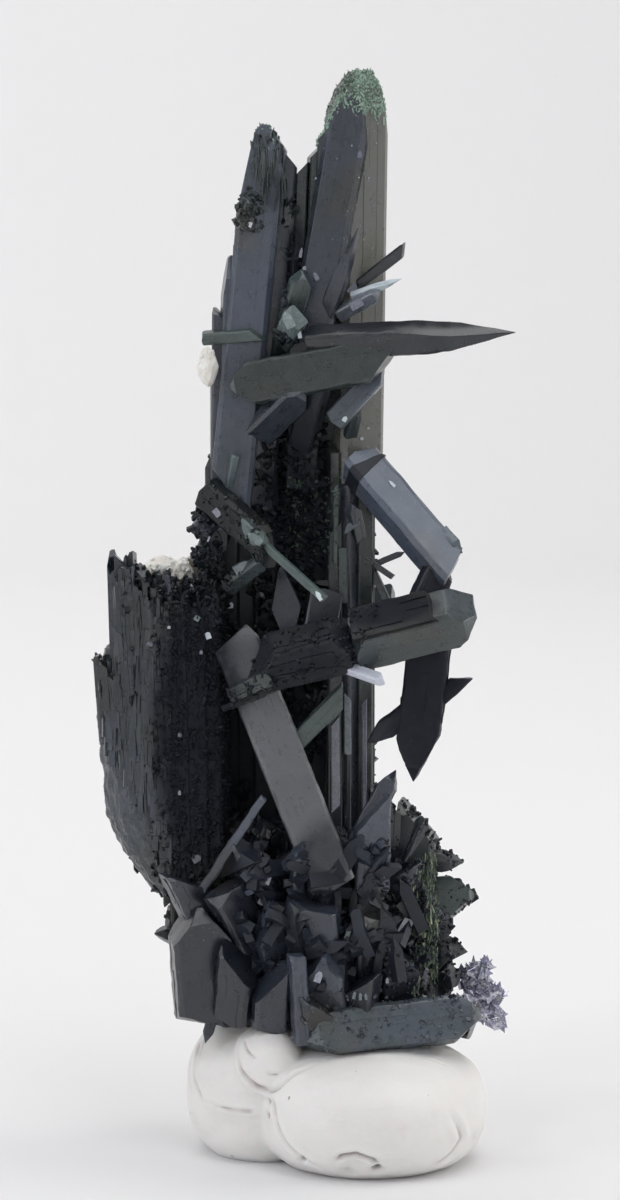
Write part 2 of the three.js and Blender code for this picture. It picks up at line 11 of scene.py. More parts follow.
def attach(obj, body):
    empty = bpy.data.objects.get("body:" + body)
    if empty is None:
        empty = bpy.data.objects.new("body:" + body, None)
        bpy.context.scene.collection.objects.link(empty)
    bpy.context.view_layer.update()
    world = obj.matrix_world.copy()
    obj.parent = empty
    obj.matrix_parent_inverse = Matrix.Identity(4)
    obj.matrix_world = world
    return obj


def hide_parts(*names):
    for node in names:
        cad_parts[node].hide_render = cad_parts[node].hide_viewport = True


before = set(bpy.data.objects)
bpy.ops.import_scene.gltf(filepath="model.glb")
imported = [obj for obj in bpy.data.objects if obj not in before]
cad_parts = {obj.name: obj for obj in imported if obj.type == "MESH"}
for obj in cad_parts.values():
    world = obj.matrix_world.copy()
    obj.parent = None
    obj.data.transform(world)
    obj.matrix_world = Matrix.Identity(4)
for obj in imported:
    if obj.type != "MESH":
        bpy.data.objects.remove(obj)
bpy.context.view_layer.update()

# Crystals are listed and grown in millimetres, in the solids' frame, and each finished piece becomes metres.
mm = 0.001
hairline = 1e-5  # a cut that passes a corner closer than this goes through it
patternSpan = 90  # how far chance moves a pattern along a crystal

# The photograph's view: level with the specimen and a little above, through a long lens.
view = {"aim": (-1.5, 0, 33.3), "distance": 230.0, "pitch": 6.0, "lens": 115.0, "sensor": 36.0, "near": 0.01}
pitch = math.radians(view["pitch"])
eye = Vector(view["aim"]) + Vector((0, -math.cos(pitch), math.sin(pitch))) * view["distance"]

# How crystals end. Each facet is (around, steep, share): the compass angle that it faces round the crystal's
# length, 0 right, 90 back, 180 left and 270 front, how steep it is, and where it leaves the tip's level.
ends = {
    "point": [(0, 64, 0), (180, 67, 0), (90, 56, 0), (270, 58, 0)],
    "lance": [(0, 82, 0), (180, 83.5, 0), (90, 78, 0), (270, 79, 0)],
    "chisel": [(0, 54, 0.1), (180, 50, 0.1), (270, 40, 0.3)],
    "slantRight": [(0, 46, -0.9), (270, 35, 0.4)],
    "slantLeft": [(180, 48, -0.9), (90, 35, 0.4)],
    "blunt": [(40, 12, -0.8), (230, 34, 0.3)],
    "wedge": [(180, 11, -0.8)],
    "leaf": [(0, 70, 0.1), (180, 74, 0.1), (270, 60, 0.5)],
    "roof": [(180, 20, -0.7), (0, 66, 0.72), (270, 24, 0.5)],
    "broken": [(180, 27, -0.85), (0, 50, 0.93), (270, 30, 0.8)],
    "worn": [(0, 76, 0.35), (180, 66, 0.1), (90, 50, 0.5), (270, 58, 0.6), (190, 16, 0)],
    "nib": [(0, 50, 0.05), (180, 83, 0.48), (180, 51, 0.28), (90, 60, 0.3), (270, 66, 0.4)],
}

# What a crystal is like unless its recipe says more: how many laths a broad side carries and how far they stand
# out, its finish, and its tone, from dark to pale and from green to violet.
habit = {"ribs": 4, "step": 0.045, "finish": "faces", "pale": 0.2, "violet": 0.5}
toneSpread = {"pale": 0.12, "violet": 0.3}

# A crystal's long bevel and the fine rim on its sharp edges, as shares of its thinner side.
bevels = {"long": 0.12, "rim": 0.04, "widestRim": 0.035, "sharp": 20, "smooth": 22}

# Laths of parallel growth: shares of the side's width, of the step out, of the length and of the depth.
laths = {
    "width": (0.07, 0.27), "proud": (0.25, 1.25), "foot": (-0.1, 0.7), "reach": (0.15, 0.75), "thick": 0.6,
    "lowest": 0.05, "steep": (50, 80),
}

# Splinters of a torn end: shares of their spacing, of the crystal's depth and of its length.
splinters = {"width": (0.9, 1.4), "thick": (0.9, 1.8), "foot": 0.55, "steep": (35, 75), "lean": 0.4, "body": 0.8}

# Wear: corners are added every pitch or so and moved by a coarse and a fine noise.
wear = {"seed": 17, "pitch": 0.4, "coarse": 0.8, "fine": 3.1, "fineShare": 0.5, "apart": 0.37}
noise.seed_set(wear["seed"])  # without a seed its noise changes from run to run


def randomFrom(seed):  # the same numbers every run, from 0 to 1
    state = seed

    def draw():
        nonlocal state
        state = (state * 1664525 + 1013904223) % 2**32
        return state / 2**32

    return draw


def swing(draw, reach):  # by chance to either side of 0, half the reach at most
    return (draw() - 0.5) * reach


def between(span, share):
    return span[0] + (span[1] - span[0]) * share


def valueAt(line, x):  # the value at x of a line drawn through (x, value) points
    after = next((i for i, point in enumerate(line) if point[0] >= x), len(line) - 1)
    last = max(1, after)
    (x0, v0), (x1, v1) = line[last - 1], line[last]
    return v0 + (v1 - v0) * min(max((x - x0) / (x1 - x0), 0), 1)


def crystal(foot, tip, across, turn=0, end="point", footEnd=None, **more):
    placed = {"foot": Vector(foot), "tip": Vector(tip), "across": across, "turn": turn}
    return {**placed, "end": end, "footEnd": footEnd, **more}


def frameAlong(foot, tip, turn):  # right, back and along, seen from the front, swung round by turn
    along = (tip - foot).normalized()
    headOn = abs(along.y) > 0.97
    front = Vector((0, 0, 1)) if headOn else Vector((0, -1, 0))
    front = (front - along * front.dot(along)).normalized()
    front = Matrix.Rotation(math.radians(turn), 3, along) @ front
    frameOf = Matrix((along.cross(front), -front, along)).transposed().to_4x4()
    frameOf.translation = foot
    return frameOf


def facetPlanes(kind, halfWidth, halfDepth, level, way):
    planes = []
    for around, steep, share in ends[kind]:
        a = math.radians(around)
        s = math.radians(steep)
        out = Vector((math.cos(a), math.sin(a), 0))
        far = share * (abs(out.x) * halfWidth + abs(out.y) * halfDepth)
        normal = out * math.sin(s) + Vector((0, 0, way * math.cos(s)))
        planes.append((out * far + Vector((0, 0, level)), normal))
    return planes


def endPlanes(grown, halfWidth, halfDepth, length):  # the facets of its tip and, where it is free, of its foot
    planes = facetPlanes(grown["end"], halfWidth, halfDepth, length, 1)
    if grown["footEnd"]:
        planes += facetPlanes(grown["footEnd"], halfWidth, halfDepth, 0, -1)
    return planes


def selectOnly(piece):
    bpy.ops.object.select_all(action="DESELECT")
    piece.select_set(True)
    bpy.context.view_layer.objects.active = piece


def joined(parts):
    selectOnly(parts[0])
    for part in parts:
        part.select_set(True)
    if len(parts) > 1:
        bpy.ops.object.join()
    return parts[0]


def coat(piece, finish):
    piece.data.materials.clear()
    piece.data.materials.append(finishes[finish])


def modified(piece, kind, **settings):  # adds a modifier and applies it
    modifier = piece.modifiers.new(kind.lower(), kind)
    for name, value in settings.items():
        setattr(modifier, name, value)
    bpy.ops.object.modifier_apply(modifier=modifier.name)


def clouds(size, depth):
    texture = bpy.data.textures.new("clouds", "CLOUDS")
    texture.noise_scale = size
    texture.noise_depth = depth
    return texture


@contextmanager
def editing():  # edit mode, with everything selected
    bpy.ops.object.mode_set(mode="EDIT")
    bpy.ops.mesh.select_all(action="SELECT")
    yield
    bpy.ops.object.mode_set(mode="OBJECT")


def pick(kind, test):  # in edit mode, selects the edges or faces that pass the test
    bpy.ops.mesh.select_mode(type=kind)
    bpy.ops.mesh.select_all(action="DESELECT")
    shape = bmesh.from_edit_mesh(bpy.context.object.data)
    for part in shape.edges if kind == "EDGE" else shape.faces:
        part.select_set(test(part))
    bmesh.update_edit_mesh(bpy.context.object.data)


def cutOff(point, normal):  # in edit mode, removes what lies past the plane and closes the cut
    bpy.ops.mesh.select_all(action="SELECT")
    if bpy.context.object.data.total_vert_sel:
        bpy.ops.mesh.bisect(plane_co=point, plane_no=normal, use_fill=True, clear_outer=True, threshold=hairline)


def prismSolid(size, middle, longBevel, planes, rim):
    # a block bevelled along its length, cut to its facets, with a fine rim on every sharp edge
    bpy.ops.object.select_all(action="DESELECT")
    bpy.ops.mesh.primitive_cube_add(size=1, location=middle, scale=size)
    solid = bpy.context.object
    with editing():
        if longBevel > 0:
            pick("EDGE", lambda edge: abs(edge.verts[0].co.z - edge.verts[1].co.z) > size[2] / 2)
            bpy.ops.mesh.bevel(offset=longBevel, segments=1, affect="EDGES")
        for point, normal in planes:
            cutOff(point, normal)
        if rim > 0:
            bpy.ops.mesh.select_mode(type="EDGE")
            bpy.ops.mesh.select_all(action="DESELECT")
            bpy.ops.mesh.edges_select_sharp(sharpness=math.radians(bevels["sharp"]))
            bpy.ops.mesh.bevel(offset=rim, segments=1, affect="EDGES", clamp_overlap=True)
    return solid


def addLaths(grown, draw, halfWidth, halfDepth, length, bevel):
    # thin laths of parallel growth that stand a little proud of the four sides
    made = []
    for side in range(4):
        broad = side % 2 == 0
        wide, out = (halfWidth, halfDepth) if broad else (halfDepth, halfWidth)
        a = math.radians(270 - 90 * side)
        facing = Vector((math.cos(a), math.sin(a), 0))
        tangent = Vector((-facing.y, facing.x, 0))
        for i in range(grown["ribs"] if broad else (grown["ribs"] + 1) // 2):
            size = wide * 2 * between(laths["width"], draw())
            slide = swing(draw, 2 * (wide - bevel) - size)
            proud = grown["step"] * between(laths["proud"], draw())
            low = length * between(laths["foot"], draw())
            high = min(low + length * between(laths["reach"], draw()), length)
            low = max(low, laths["lowest"])
            if high - low < size:
                continue
            thick = out * laths["thick"]
            centre = facing * (out + proud - thick / 2) + tangent * slide
            box = (size, thick, high - low) if broad else (thick, size, high - low)
            steep = math.radians(between(laths["steep"], draw()))
            lean = tangent * (math.sin(steep) if draw() > 0.5 else -math.sin(steep))
            up = Vector((0, 0, math.cos(steep)))
            planes = [(centre + Vector((0, 0, high)), lean + up), (centre + Vector((0, 0, low)), lean - up)]
            planes += endPlanes(grown, halfWidth + proud, halfDepth + proud, length)
            made.append(prismSolid(box, centre + Vector((0, 0, (low + high) / 2)), 0, planes, 0))
    return made


def addSplinters(grown, draw, halfWidth, halfDepth, length):
    # slivers across the width that stop at different heights
    spacing = 2 * halfWidth / grown["splinters"]
    low = length * splinters["foot"]
    made = []
    for i in range(grown["splinters"]):
        x = -halfWidth + spacing * (i + 0.5)
        top = length - grown["tear"] * draw()
        depth = halfDepth * between(splinters["thick"], draw())
        y = swing(draw, 2 * halfDepth - depth)
        steep = math.radians(between(splinters["steep"], draw()))
        side = math.sin(steep) * (1 if draw() > 0.5 else -1)
        plane = (Vector((x, y, top)), Vector((side, swing(draw, splinters["lean"]), math.cos(steep))))
        size = (spacing * between(splinters["width"], draw()), depth, length - low)
        made.append(prismSolid(size, Vector((x, y, (length + low) / 2)), 0, [plane], 0))
    return made


def setTone(piece, pale, violet):  # how pale it is and how far from green to violet, for its material
    for name, value in (("pale", pale), ("violet", violet)):
        tone = piece.data.attributes.get(name) or piece.data.attributes.new(name, "FLOAT", "POINT")
        tone.data.foreach_set("value", np.full(len(piece.data.vertices), value, np.float32))


def projectLength(piece, draw):  # a UV map in millimetres, V along the crystal, moved by chance
    selectOnly(piece)
    with editing():
        bpy.ops.uv.cube_project(cube_size=1.0, correct_aspect=False)
    layer = piece.data.uv_layers.active
    layer.name = "along"
    places = np.zeros(len(layer.data) * 2, np.float32)
    layer.data.foreach_get("uv", places)
    shift = np.array([draw() * patternSpan, draw() * patternSpan], np.float32)
    layer.data.foreach_set("uv", (places.reshape(-1, 2) + shift).ravel())


def weather(solid, rough):
    selectOnly(solid)
    with editing():
        for axis in range(3):
            reach = [corner[axis] for corner in solid.bound_box]
            count = round((max(reach) - min(reach)) / wear["pitch"])
            normal = Vector([float(i == axis) for i in range(3)])
            for i in range(1, count):
                bpy.ops.mesh.select_all(action="SELECT")
                place = solid.matrix_world @ (normal * between((min(reach), max(reach)), i / count))
                bpy.ops.mesh.bisect(plane_co=place, plane_no=normal, threshold=hairline)
    shift = solid.matrix_world.translation + Vector((len(solid.data.vertices) * wear["apart"], 0, 0))
    for corner in solid.data.vertices:
        place = corner.co + shift
        fine = noise.noise_vector(place * wear["fine"]) * wear["fineShare"]
        corner.co += (noise.noise_vector(place * wear["coarse"]) + fine) * rough


def grow(grown, draw):
    halfWidth, halfDepth = grown["across"][0] / 2, grown["across"][1] / 2
    length = (grown["tip"] - grown["foot"]).length
    thin = min(grown["across"])
    bevel = thin * bevels["long"]
    planes = endPlanes(grown, halfWidth, halfDepth, length)
    torn = "splinters" in grown
    if torn:  # the body stops below the splinters' tips, a little askew
        planes.append((Vector((0, 0, length - grown["tear"] * splinters["body"])), Vector((0.2, 0.1, 1))))
    size = (halfWidth * 2, halfDepth * 2, length)
    rim = min(bevels["widestRim"], thin * bevels["rim"])
    parts = [prismSolid(size, Vector((0, 0, length / 2)), bevel, planes, rim)]
    parts += addLaths(grown, draw, halfWidth, halfDepth, length, bevel)
    if torn:
        parts += addSplinters(grown, draw, halfWidth, halfDepth, length)
    for part in [part for part in parts if len(part.data.polygons) < 4]:  # cut away whole
        parts.remove(part)
        bpy.data.objects.remove(part)
    solid = joined(parts)
    if "worn" in grown:
        weather(solid, grown["worn"])
    coat(solid, grown["finish"])
    projectLength(solid, draw)
    violet = grown["violet"] + swing(draw, toneSpread["violet"])
    setTone(solid, grown["pale"] + swing(draw, toneSpread["pale"]), violet)
    solid.matrix_world = frameAlong(grown["foot"], grown["tip"], grown["turn"]) @ solid.matrix_world
    return solid


def growAll(recipe):
    draw = randomFrom(recipe["seed"])
    piece = joined([grow({**habit, **recipe, **each}, draw) for each in recipe["crystals"]])
    bpy.ops.object.transform_apply(location=True, rotation=True, scale=True)
    bpy.ops.object.shade_smooth_by_angle(angle=math.radians(bevels["smooth"]))
    return piece


def finished(piece, name, slot, node=None, finish=None):
    # from millimetres to metres, with its place in its mesh, and onto the body
    selectOnly(piece)
    piece.matrix_world = Matrix.Scale(mm, 4) @ piece.matrix_world
    bpy.ops.object.transform_apply(location=True, rotation=True, scale=True)
    piece.name = piece.data.name = name
    if finish:
        coat(piece, finish)
    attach(piece, "root")
    if node:
        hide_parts(node)
    print("made", name, len(piece.data.polygons), "faces")
    return piece


class Wire:
    # a socket in a finish's node tree; arithmetic on it adds Math nodes
    def __init__(self, finish, socket):
        self.finish = finish
        self.socket = socket

    def math(self, operation, first, second):
        return self.finish.node("Math", {"operation": operation}, {0: first, 1: second})

    def __add__(self, other):
        return self.math("ADD", self, other)

    def __radd__(self, other):
        return self.math("ADD", other, self)

    def __sub__(self, other):
        return self.math("SUBTRACT", self, other)

    def __rsub__(self, other):
        return self.math("SUBTRACT", other, self)

    def __mul__(self, other):
        return self.math("MULTIPLY", self, other)

    def __rmul__(self, other):
        return self.math("MULTIPLY", other, self)


class Finish:
    # a material's node tree, with its shader at the end
    def __init__(self, name, fixed):
        self.material = bpy.data.materials.new(name)
        self.material.use_nodes = True
        self.tree = self.material.node_tree
        self.tree.nodes.clear()
        self.out = self.tree.nodes.new("ShaderNodeOutputMaterial")
        self.shader = self.node("BsdfPrincipled", {}, fixed)
        self.link(self.shader, self.out.inputs["Surface"])

    def link(self, wire, socket):
        self.tree.links.new(wire.socket, socket)

    def node(self, kind, settings=None, inputs=None, output=0):
        made = self.tree.nodes.new("ShaderNode" + kind)
        for name, value in (settings or {}).items():
            setattr(made, name, value)
        for name, value in (inputs or {}).items():
            if isinstance(value, Wire):
                self.link(value, made.inputs[name])
            else:
                made.inputs[name].default_value = value
        return Wire(self, made.outputs[output])

    def place(self):
        return self.node("TexCoord", output="Object")

    def attribute(self, name):
        return self.node("Attribute", {"attribute_name": name}, output="Fac")

    def noise(self, place, scale, detail=3.0, roughness=0.55):
        sockets = {"Vector": place, "Scale": scale, "Detail": detail, "Roughness": roughness}
        return self.node("TexNoise", {}, sockets)

    def fade(self, value, low, high, start=0.0, stop=1.0):  # a smooth step from low to high
        sockets = {"Value": value, "From Min": low, "From Max": high, "To Min": start, "To Max": stop}
        return self.node("MapRange", {"interpolation_type": "SMOOTHSTEP"}, sockets)

    def mix(self, share, first, second):  # colours
        first, second = (each if isinstance(each, Wire) else (*each, 1) for each in (first, second))
        return self.node("Mix", {"data_type": "RGBA"}, {"Factor": share, "A": first, "B": second}, 2)

    def stretched(self, place, scale):
        return self.node("Mapping", {}, {"Vector": place, "Scale": scale})

    def near(self, place, middle, radii):  # 1 around a place given in millimetres, 0 outside its radii
        off = self.node("VectorMath", {"operation": "SUBTRACT"}, {0: place, 1: Vector(middle) * mm})
        off = self.node("VectorMath", {"operation": "DIVIDE"}, {0: off, 1: Vector(radii) * mm})
        return self.fade(self.node("VectorMath", {"operation": "LENGTH"}, {0: off}, 1), 1.0, 0.5)

    def feed(self, colour, roughness, relief, distance, strength=1.0):
        normal = self.node("Bump", {}, {"Height": relief, "Distance": distance, "Strength": strength})
        for name, wire in (("Base Color", colour), ("Roughness", roughness), ("Normal", normal)):
            self.link(wire, self.shader.socket.node.inputs[name])

    def veil(self, share, fixed):  # a second, plain surface that takes over by share
        other = self.node("BsdfPrincipled", {}, fixed)
        self.link(self.node("MixShader", {}, {0: share, 1: self.shader, 2: other}), self.out.inputs["Surface"])


# Soft areas of the rock in millimetres: (middle, radii, how far). The first list is painted shade, the second
# paler.
paintedShadeAreas = [
    ((-8.0, -3.0, 26.0), (3.9, 7.0, 12.0), 0.95),
    ((-2.3, 0.3, 38.5), (3.6, 2.6, 7.0), 0.9),
    ((-4.0, 0.2, 24.0), (4.4, 3.2, 7.5), 0.9),
    ((-1.8, -5.4, 30.9), (4.6, 2.6, 2.6), 0.6),
    ((-2.3, 0.2, 53.0), (1.0, 2.2, 4.6), 0.8),
    ((-0.6, -3.6, 14.0), (5.0, 4.4, 5.4), 0.2),
    ((-0.6, -5.3, 18.2), (2.8, 1.8, 4.0), 0.6),
    ((2.0, -3.2, 50.3), (3.2, 2.6, 1.0), 0.8),
    ((6.0, -4.8, 50.4), (5.8, 2.2, 0.9), 0.85),
    ((5.5, -4.3, 27.5), (3.4, 2.0, 7.0), 0.8),
    ((-0.6, -0.8, 44.6), (2.8, 2.0, 2.0), 0.6),
    ((0.6, 0.5, 24.0), (2.0, 2.0, 7.0), 0.5),
    ((2.8, -6.6, 33.5), (4.4, 1.6, 1.5), 0.9),
    ((-3.7, -0.8, 57.8), (1.0, 2.2, 1.8), 0.5),
]
paler = [
    ((-12.6, -3.0, 22.0), (2.8, 5.0, 6.0), 0.14),
    ((-4.6, -1.5, 52.6), (2.4, 3.0, 5.0), 0.1),
    ((-9.6, -4.0, 17.5), (1.6, 3.0, 2.4), 0.08),
    ((6.8, -5.8, 33.0), (2.2, 2.4, 2.2), 0.12),
]

# The look of the aegirine. Colours are linear, noise scales are per metre. "mottle" is how much the clouds, the
# blotches and the grain shift its tone.
aegirineLook = {
    "green": (0.009, 0.013, 0.013),
    "violet": (0.010, 0.0125, 0.020),
    "paleGreen": (0.084, 0.121, 0.117),
    "paleViolet": (0.085, 0.105, 0.148),
    "umber": (0.030, 0.026, 0.019),
    "dun": (0.118, 0.112, 0.100),
    "dust": (0.34, 0.38, 0.38),
    "scales": {"cloud": 300, "blotch": 1500, "grain": 8000, "earth": 210, "dust": 620, "speck": 3600},
    "mottle": (0.42, 0.26, 0.5),
    "earthy": 0.55,
    "rough": 0.30,
    "striae": 0.10,
    "specks": 0.4,
    "relief": 0.00003,
    "paintedShadeAreas": paintedShadeAreas,
    "surface": {"IOR": 1.76, "Specular IOR Level": 0.42},
    # the dark, dull surface of the painted shade
    "paintedGloom": {"Base Color": (0.018, 0.020, 0.026, 1), "Roughness": 0.5, "Specular IOR Level": 0.06},
}
# The faces of the right upright are a warmer, plainer grey.
greyLook = {
    **aegirineLook,
    "paleGreen": (0.142, 0.143, 0.126),
    "paleViolet": (0.122, 0.131, 0.142),
}
# Where it is torn, fibrous or crowded with tiny crystals, little light comes back; the darkness is partly painted
# shade.
darkLook = {
    **aegirineLook,
    "green": (0.0100, 0.0135, 0.0140),
    "violet": (0.0105, 0.0125, 0.0195),
    "paleGreen": (0.050, 0.068, 0.064),
    "paleViolet": (0.046, 0.058, 0.086),
    "umber": (0.018, 0.0155, 0.0115),
    "dun": (0.060, 0.057, 0.050),
    "rough": 0.38,
    "striae": 0.22,
    "surface": {"IOR": 1.76, "Specular IOR Level": 0.2},
}
# A near-white finish for painted highlights on small faces that throw the light back, and for pale dust flecks.
paintedGlintAndDustLook = {
    **aegirineLook,
    "green": (0.10, 0.13, 0.13),
    "violet": (0.12, 0.13, 0.17),
    "paleGreen": (0.62, 0.74, 0.74),
    "paleViolet": (0.68, 0.70, 0.82),
    "dun": (0.72, 0.70, 0.66),
    "rough": 0.22,
    "specks": 0.0,
    "paintedShadeAreas": [],
}


def aegirineFinish(name, look):
    made = Finish(name, look["surface"])
    place = made.place()
    along = made.node("UVMap", {"uv_map": "along"})
    pale = made.attribute("pale")
    violet = made.attribute("violet")
    for middle, radii, share in paler:
        pale = pale + made.near(place, middle, radii) * share
    scales = look["scales"]
    cloud = made.noise(place, scales["cloud"], detail=4)
    blotch = made.noise(place, scales["blotch"], detail=4, roughness=0.6)
    grain = made.noise(place, scales["grain"])
    striae = made.noise(made.stretched(along, (4, 0.12, 1)), 1.0, detail=4, roughness=0.6)
    fine = made.noise(made.stretched(along, (20, 0.4, 1)), 1.0, detail=2)
    hue = made.fade(violet + cloud - 0.5, 0.15, 0.85)
    inClouds, inBlotches, inGrain = look["mottle"]
    mottle = (cloud - 0.5) * inClouds + (blotch - 0.5) * inBlotches
    mottle = mottle + (striae - 0.5) * look["striae"] + (grain - 0.5) * inGrain
    light = made.fade(pale + mottle, -0.1, 1.0)
    patches = made.fade(made.noise(place, scales["earth"], detail=2), 0.54, 0.68)
    earthy = patches * made.fade(violet, 1.1, 0.95) * look["earthy"]  # none where it is all violet
    dark = made.mix(hue, look["green"], look["violet"])
    dark = made.mix(earthy, dark, look["umber"])
    bright = made.mix(hue, look["paleGreen"], look["paleViolet"])
    bright = made.mix(earthy * 0.8, bright, look["dun"])
    colour = made.mix(light, dark, bright)
    apart = {"Vector": place, "Scale": scales["speck"], "Randomness": 1.0}
    speck = made.fade(made.node("TexVoronoi", {}, apart), 0.2, 0.08)
    speck = speck * made.fade(made.noise(place, scales["dust"]), 0.56, 0.7)  # dust lies in patches
    colour = made.mix(speck * look["specks"], colour, look["dust"])
    rough = look["rough"] + (striae - 0.5) * 0.12 + (blotch - 0.5) * 0.22 + speck * 0.3
    relief = striae * look["striae"] + fine * look["striae"] * 0.5 + grain * 0.08 + blotch * 0.22
    made.feed(colour, rough, relief, look["relief"])
    # painted shade: in the listed areas a dark, dull surface takes over, patchy where the blotches are
    if look["paintedShadeAreas"]:
        paintedGloom = 0
        for middle, radii, share in look["paintedShadeAreas"]:
            paintedGloom = made.near(place, middle, radii) * share + paintedGloom
        made.veil(made.fade(paintedGloom * (blotch * 0.9 + 0.5), 0.0, 1.0), look["paintedGloom"])
    return made.material


# The fibrous mint-green growth on the tall prism's tip and the streak on the right crust.
fibreLook = {
    "mint": (0.30, 0.43, 0.35), "moss": (0.055, 0.085, 0.062), "straw": (0.42, 0.45, 0.30), "grain": 5200,
}


def fibreFinish(look):
    made = Finish("fibres", {"IOR": 1.6, "Specular IOR Level": 0.35})
    pale = made.attribute("pale")
    straw = made.attribute("violet")
    grain = made.noise(made.place(), look["grain"])
    light = made.fade(pale + grain * 0.9 - 0.45, 0.1, 0.9)
    colour = made.mix(light, look["moss"], made.mix(straw, look["mint"], look["straw"]))
    made.feed(colour, 0.35 + grain * 0.35, grain, 0.00002)
    return made.material


puttyLook = {
    "light": (0.905, 0.89, 0.87),
    "shade": (0.79, 0.755, 0.73),
    "creaseShade": (0.36, 0.315, 0.30),
    "holeShadeAndDirt": (0.10, 0.085, 0.09),
    "scales": {"cloud": 240, "grain": 2600, "smear": 420, "fleck": 1400},
}


def puttyFinish(look):
    made = Finish("putty", {"IOR": 1.45, "Subsurface Weight": 0.12, "Subsurface Scale": 0.001})
    place = made.place()
    fold = made.attribute("fold")
    scales = look["scales"]
    cloud = made.noise(place, scales["cloud"], detail=4)
    grain = made.noise(place, scales["grain"], detail=4)
    smear = made.noise(made.stretched(place, (1, 1, 2.6)), scales["smear"], detail=4, roughness=0.6)
    colour = made.mix(made.fade(cloud, 0.35, 0.75) * 0.4, look["light"], look["shade"])
    # painted shade: grey along the folds and in shallow dents; the same mask also greys the left lobe
    colour = made.mix(made.fade(fold + smear * 0.4 - 0.2, 0.1, 1.0) * 0.75, colour, look["creaseShade"])
    fleck = made.fade(made.noise(place, scales["fleck"], detail=2), 0.75, 0.79) * 0.6
    # painted shade: past 1.1 the mask darkens a hole; the random flecks are dark dirt
    colour = made.mix(made.fade(fold, 1.1, 1.9) + fleck, colour, look["holeShadeAndDirt"])  # past 1.1 a fold is a dark hole
    made.feed(colour, 0.5 + smear * 0.25, grain * 0.5 + cloud * 1.4 + smear * 1.2, 0.00007, 0.7)
    return made.material


feldsparLook = {
    "white": (0.91, 0.89, 0.85), "cream": (0.80, 0.75, 0.66), "grey": (0.36, 0.35, 0.34),
    "cloud": 1400, "grain": 7000,
}


def feldsparFinish(look):
    made = Finish("feldspar", {"IOR": 1.53, "Subsurface Weight": 0.1, "Subsurface Scale": 0.0006})
    place = made.place()
    cloud = made.noise(place, look["cloud"])
    grain = made.noise(place, look["grain"])
    colour = made.mix(made.fade(cloud, 0.4, 0.7), look["white"], look["cream"])
    colour = made.mix(made.fade(grain, 0.6, 0.8) * 0.3, colour, look["grey"])
    made.feed(colour, 0.3 + grain * 0.4, grain, 0.00004)
    return made.material


flakeLook = {
    "silver": (0.74, 0.75, 0.82), "lilac": (0.34, 0.34, 0.46), "dark": (0.02, 0.022, 0.03),
    "cloud": 1900, "grain": 9000,
}


def flakeFinish(look):
    made = Finish("flakes", {"IOR": 1.6, "Metallic": 0.45})
    place = made.place()
    pale = made.attribute("pale")
    cloud = made.noise(place, look["cloud"])
    grain = made.noise(place, look["grain"], detail=2)
    colour = made.mix(made.fade(cloud, 0.35, 0.6), look["silver"], look["lilac"])
    colour = made.mix(made.fade(grain * 0.6 + pale, 0.36, 0.2) * 0.9, colour, look["dark"])
    made.feed(colour, 0.12 + grain * 0.25, cloud, 0.00004)
    return made.material


finishes = {
    "faces": aegirineFinish("aegirine", aegirineLook),
    "dark": aegirineFinish("aegirine_dark", darkLook),
    "grey": aegirineFinish("aegirine_grey", greyLook),
    # painted highlights and dust flecks
    "bright": aegirineFinish("aegirine_painted_glints_and_dust", paintedGlintAndDustLook),
    "fibres": fibreFinish(fibreLook),
    "putty": puttyFinish(puttyLook),
    "feldspar": feldsparFinish(feldsparLook),
    "flakes": flakeFinish(flakeLook),
}
print("finishes ready")

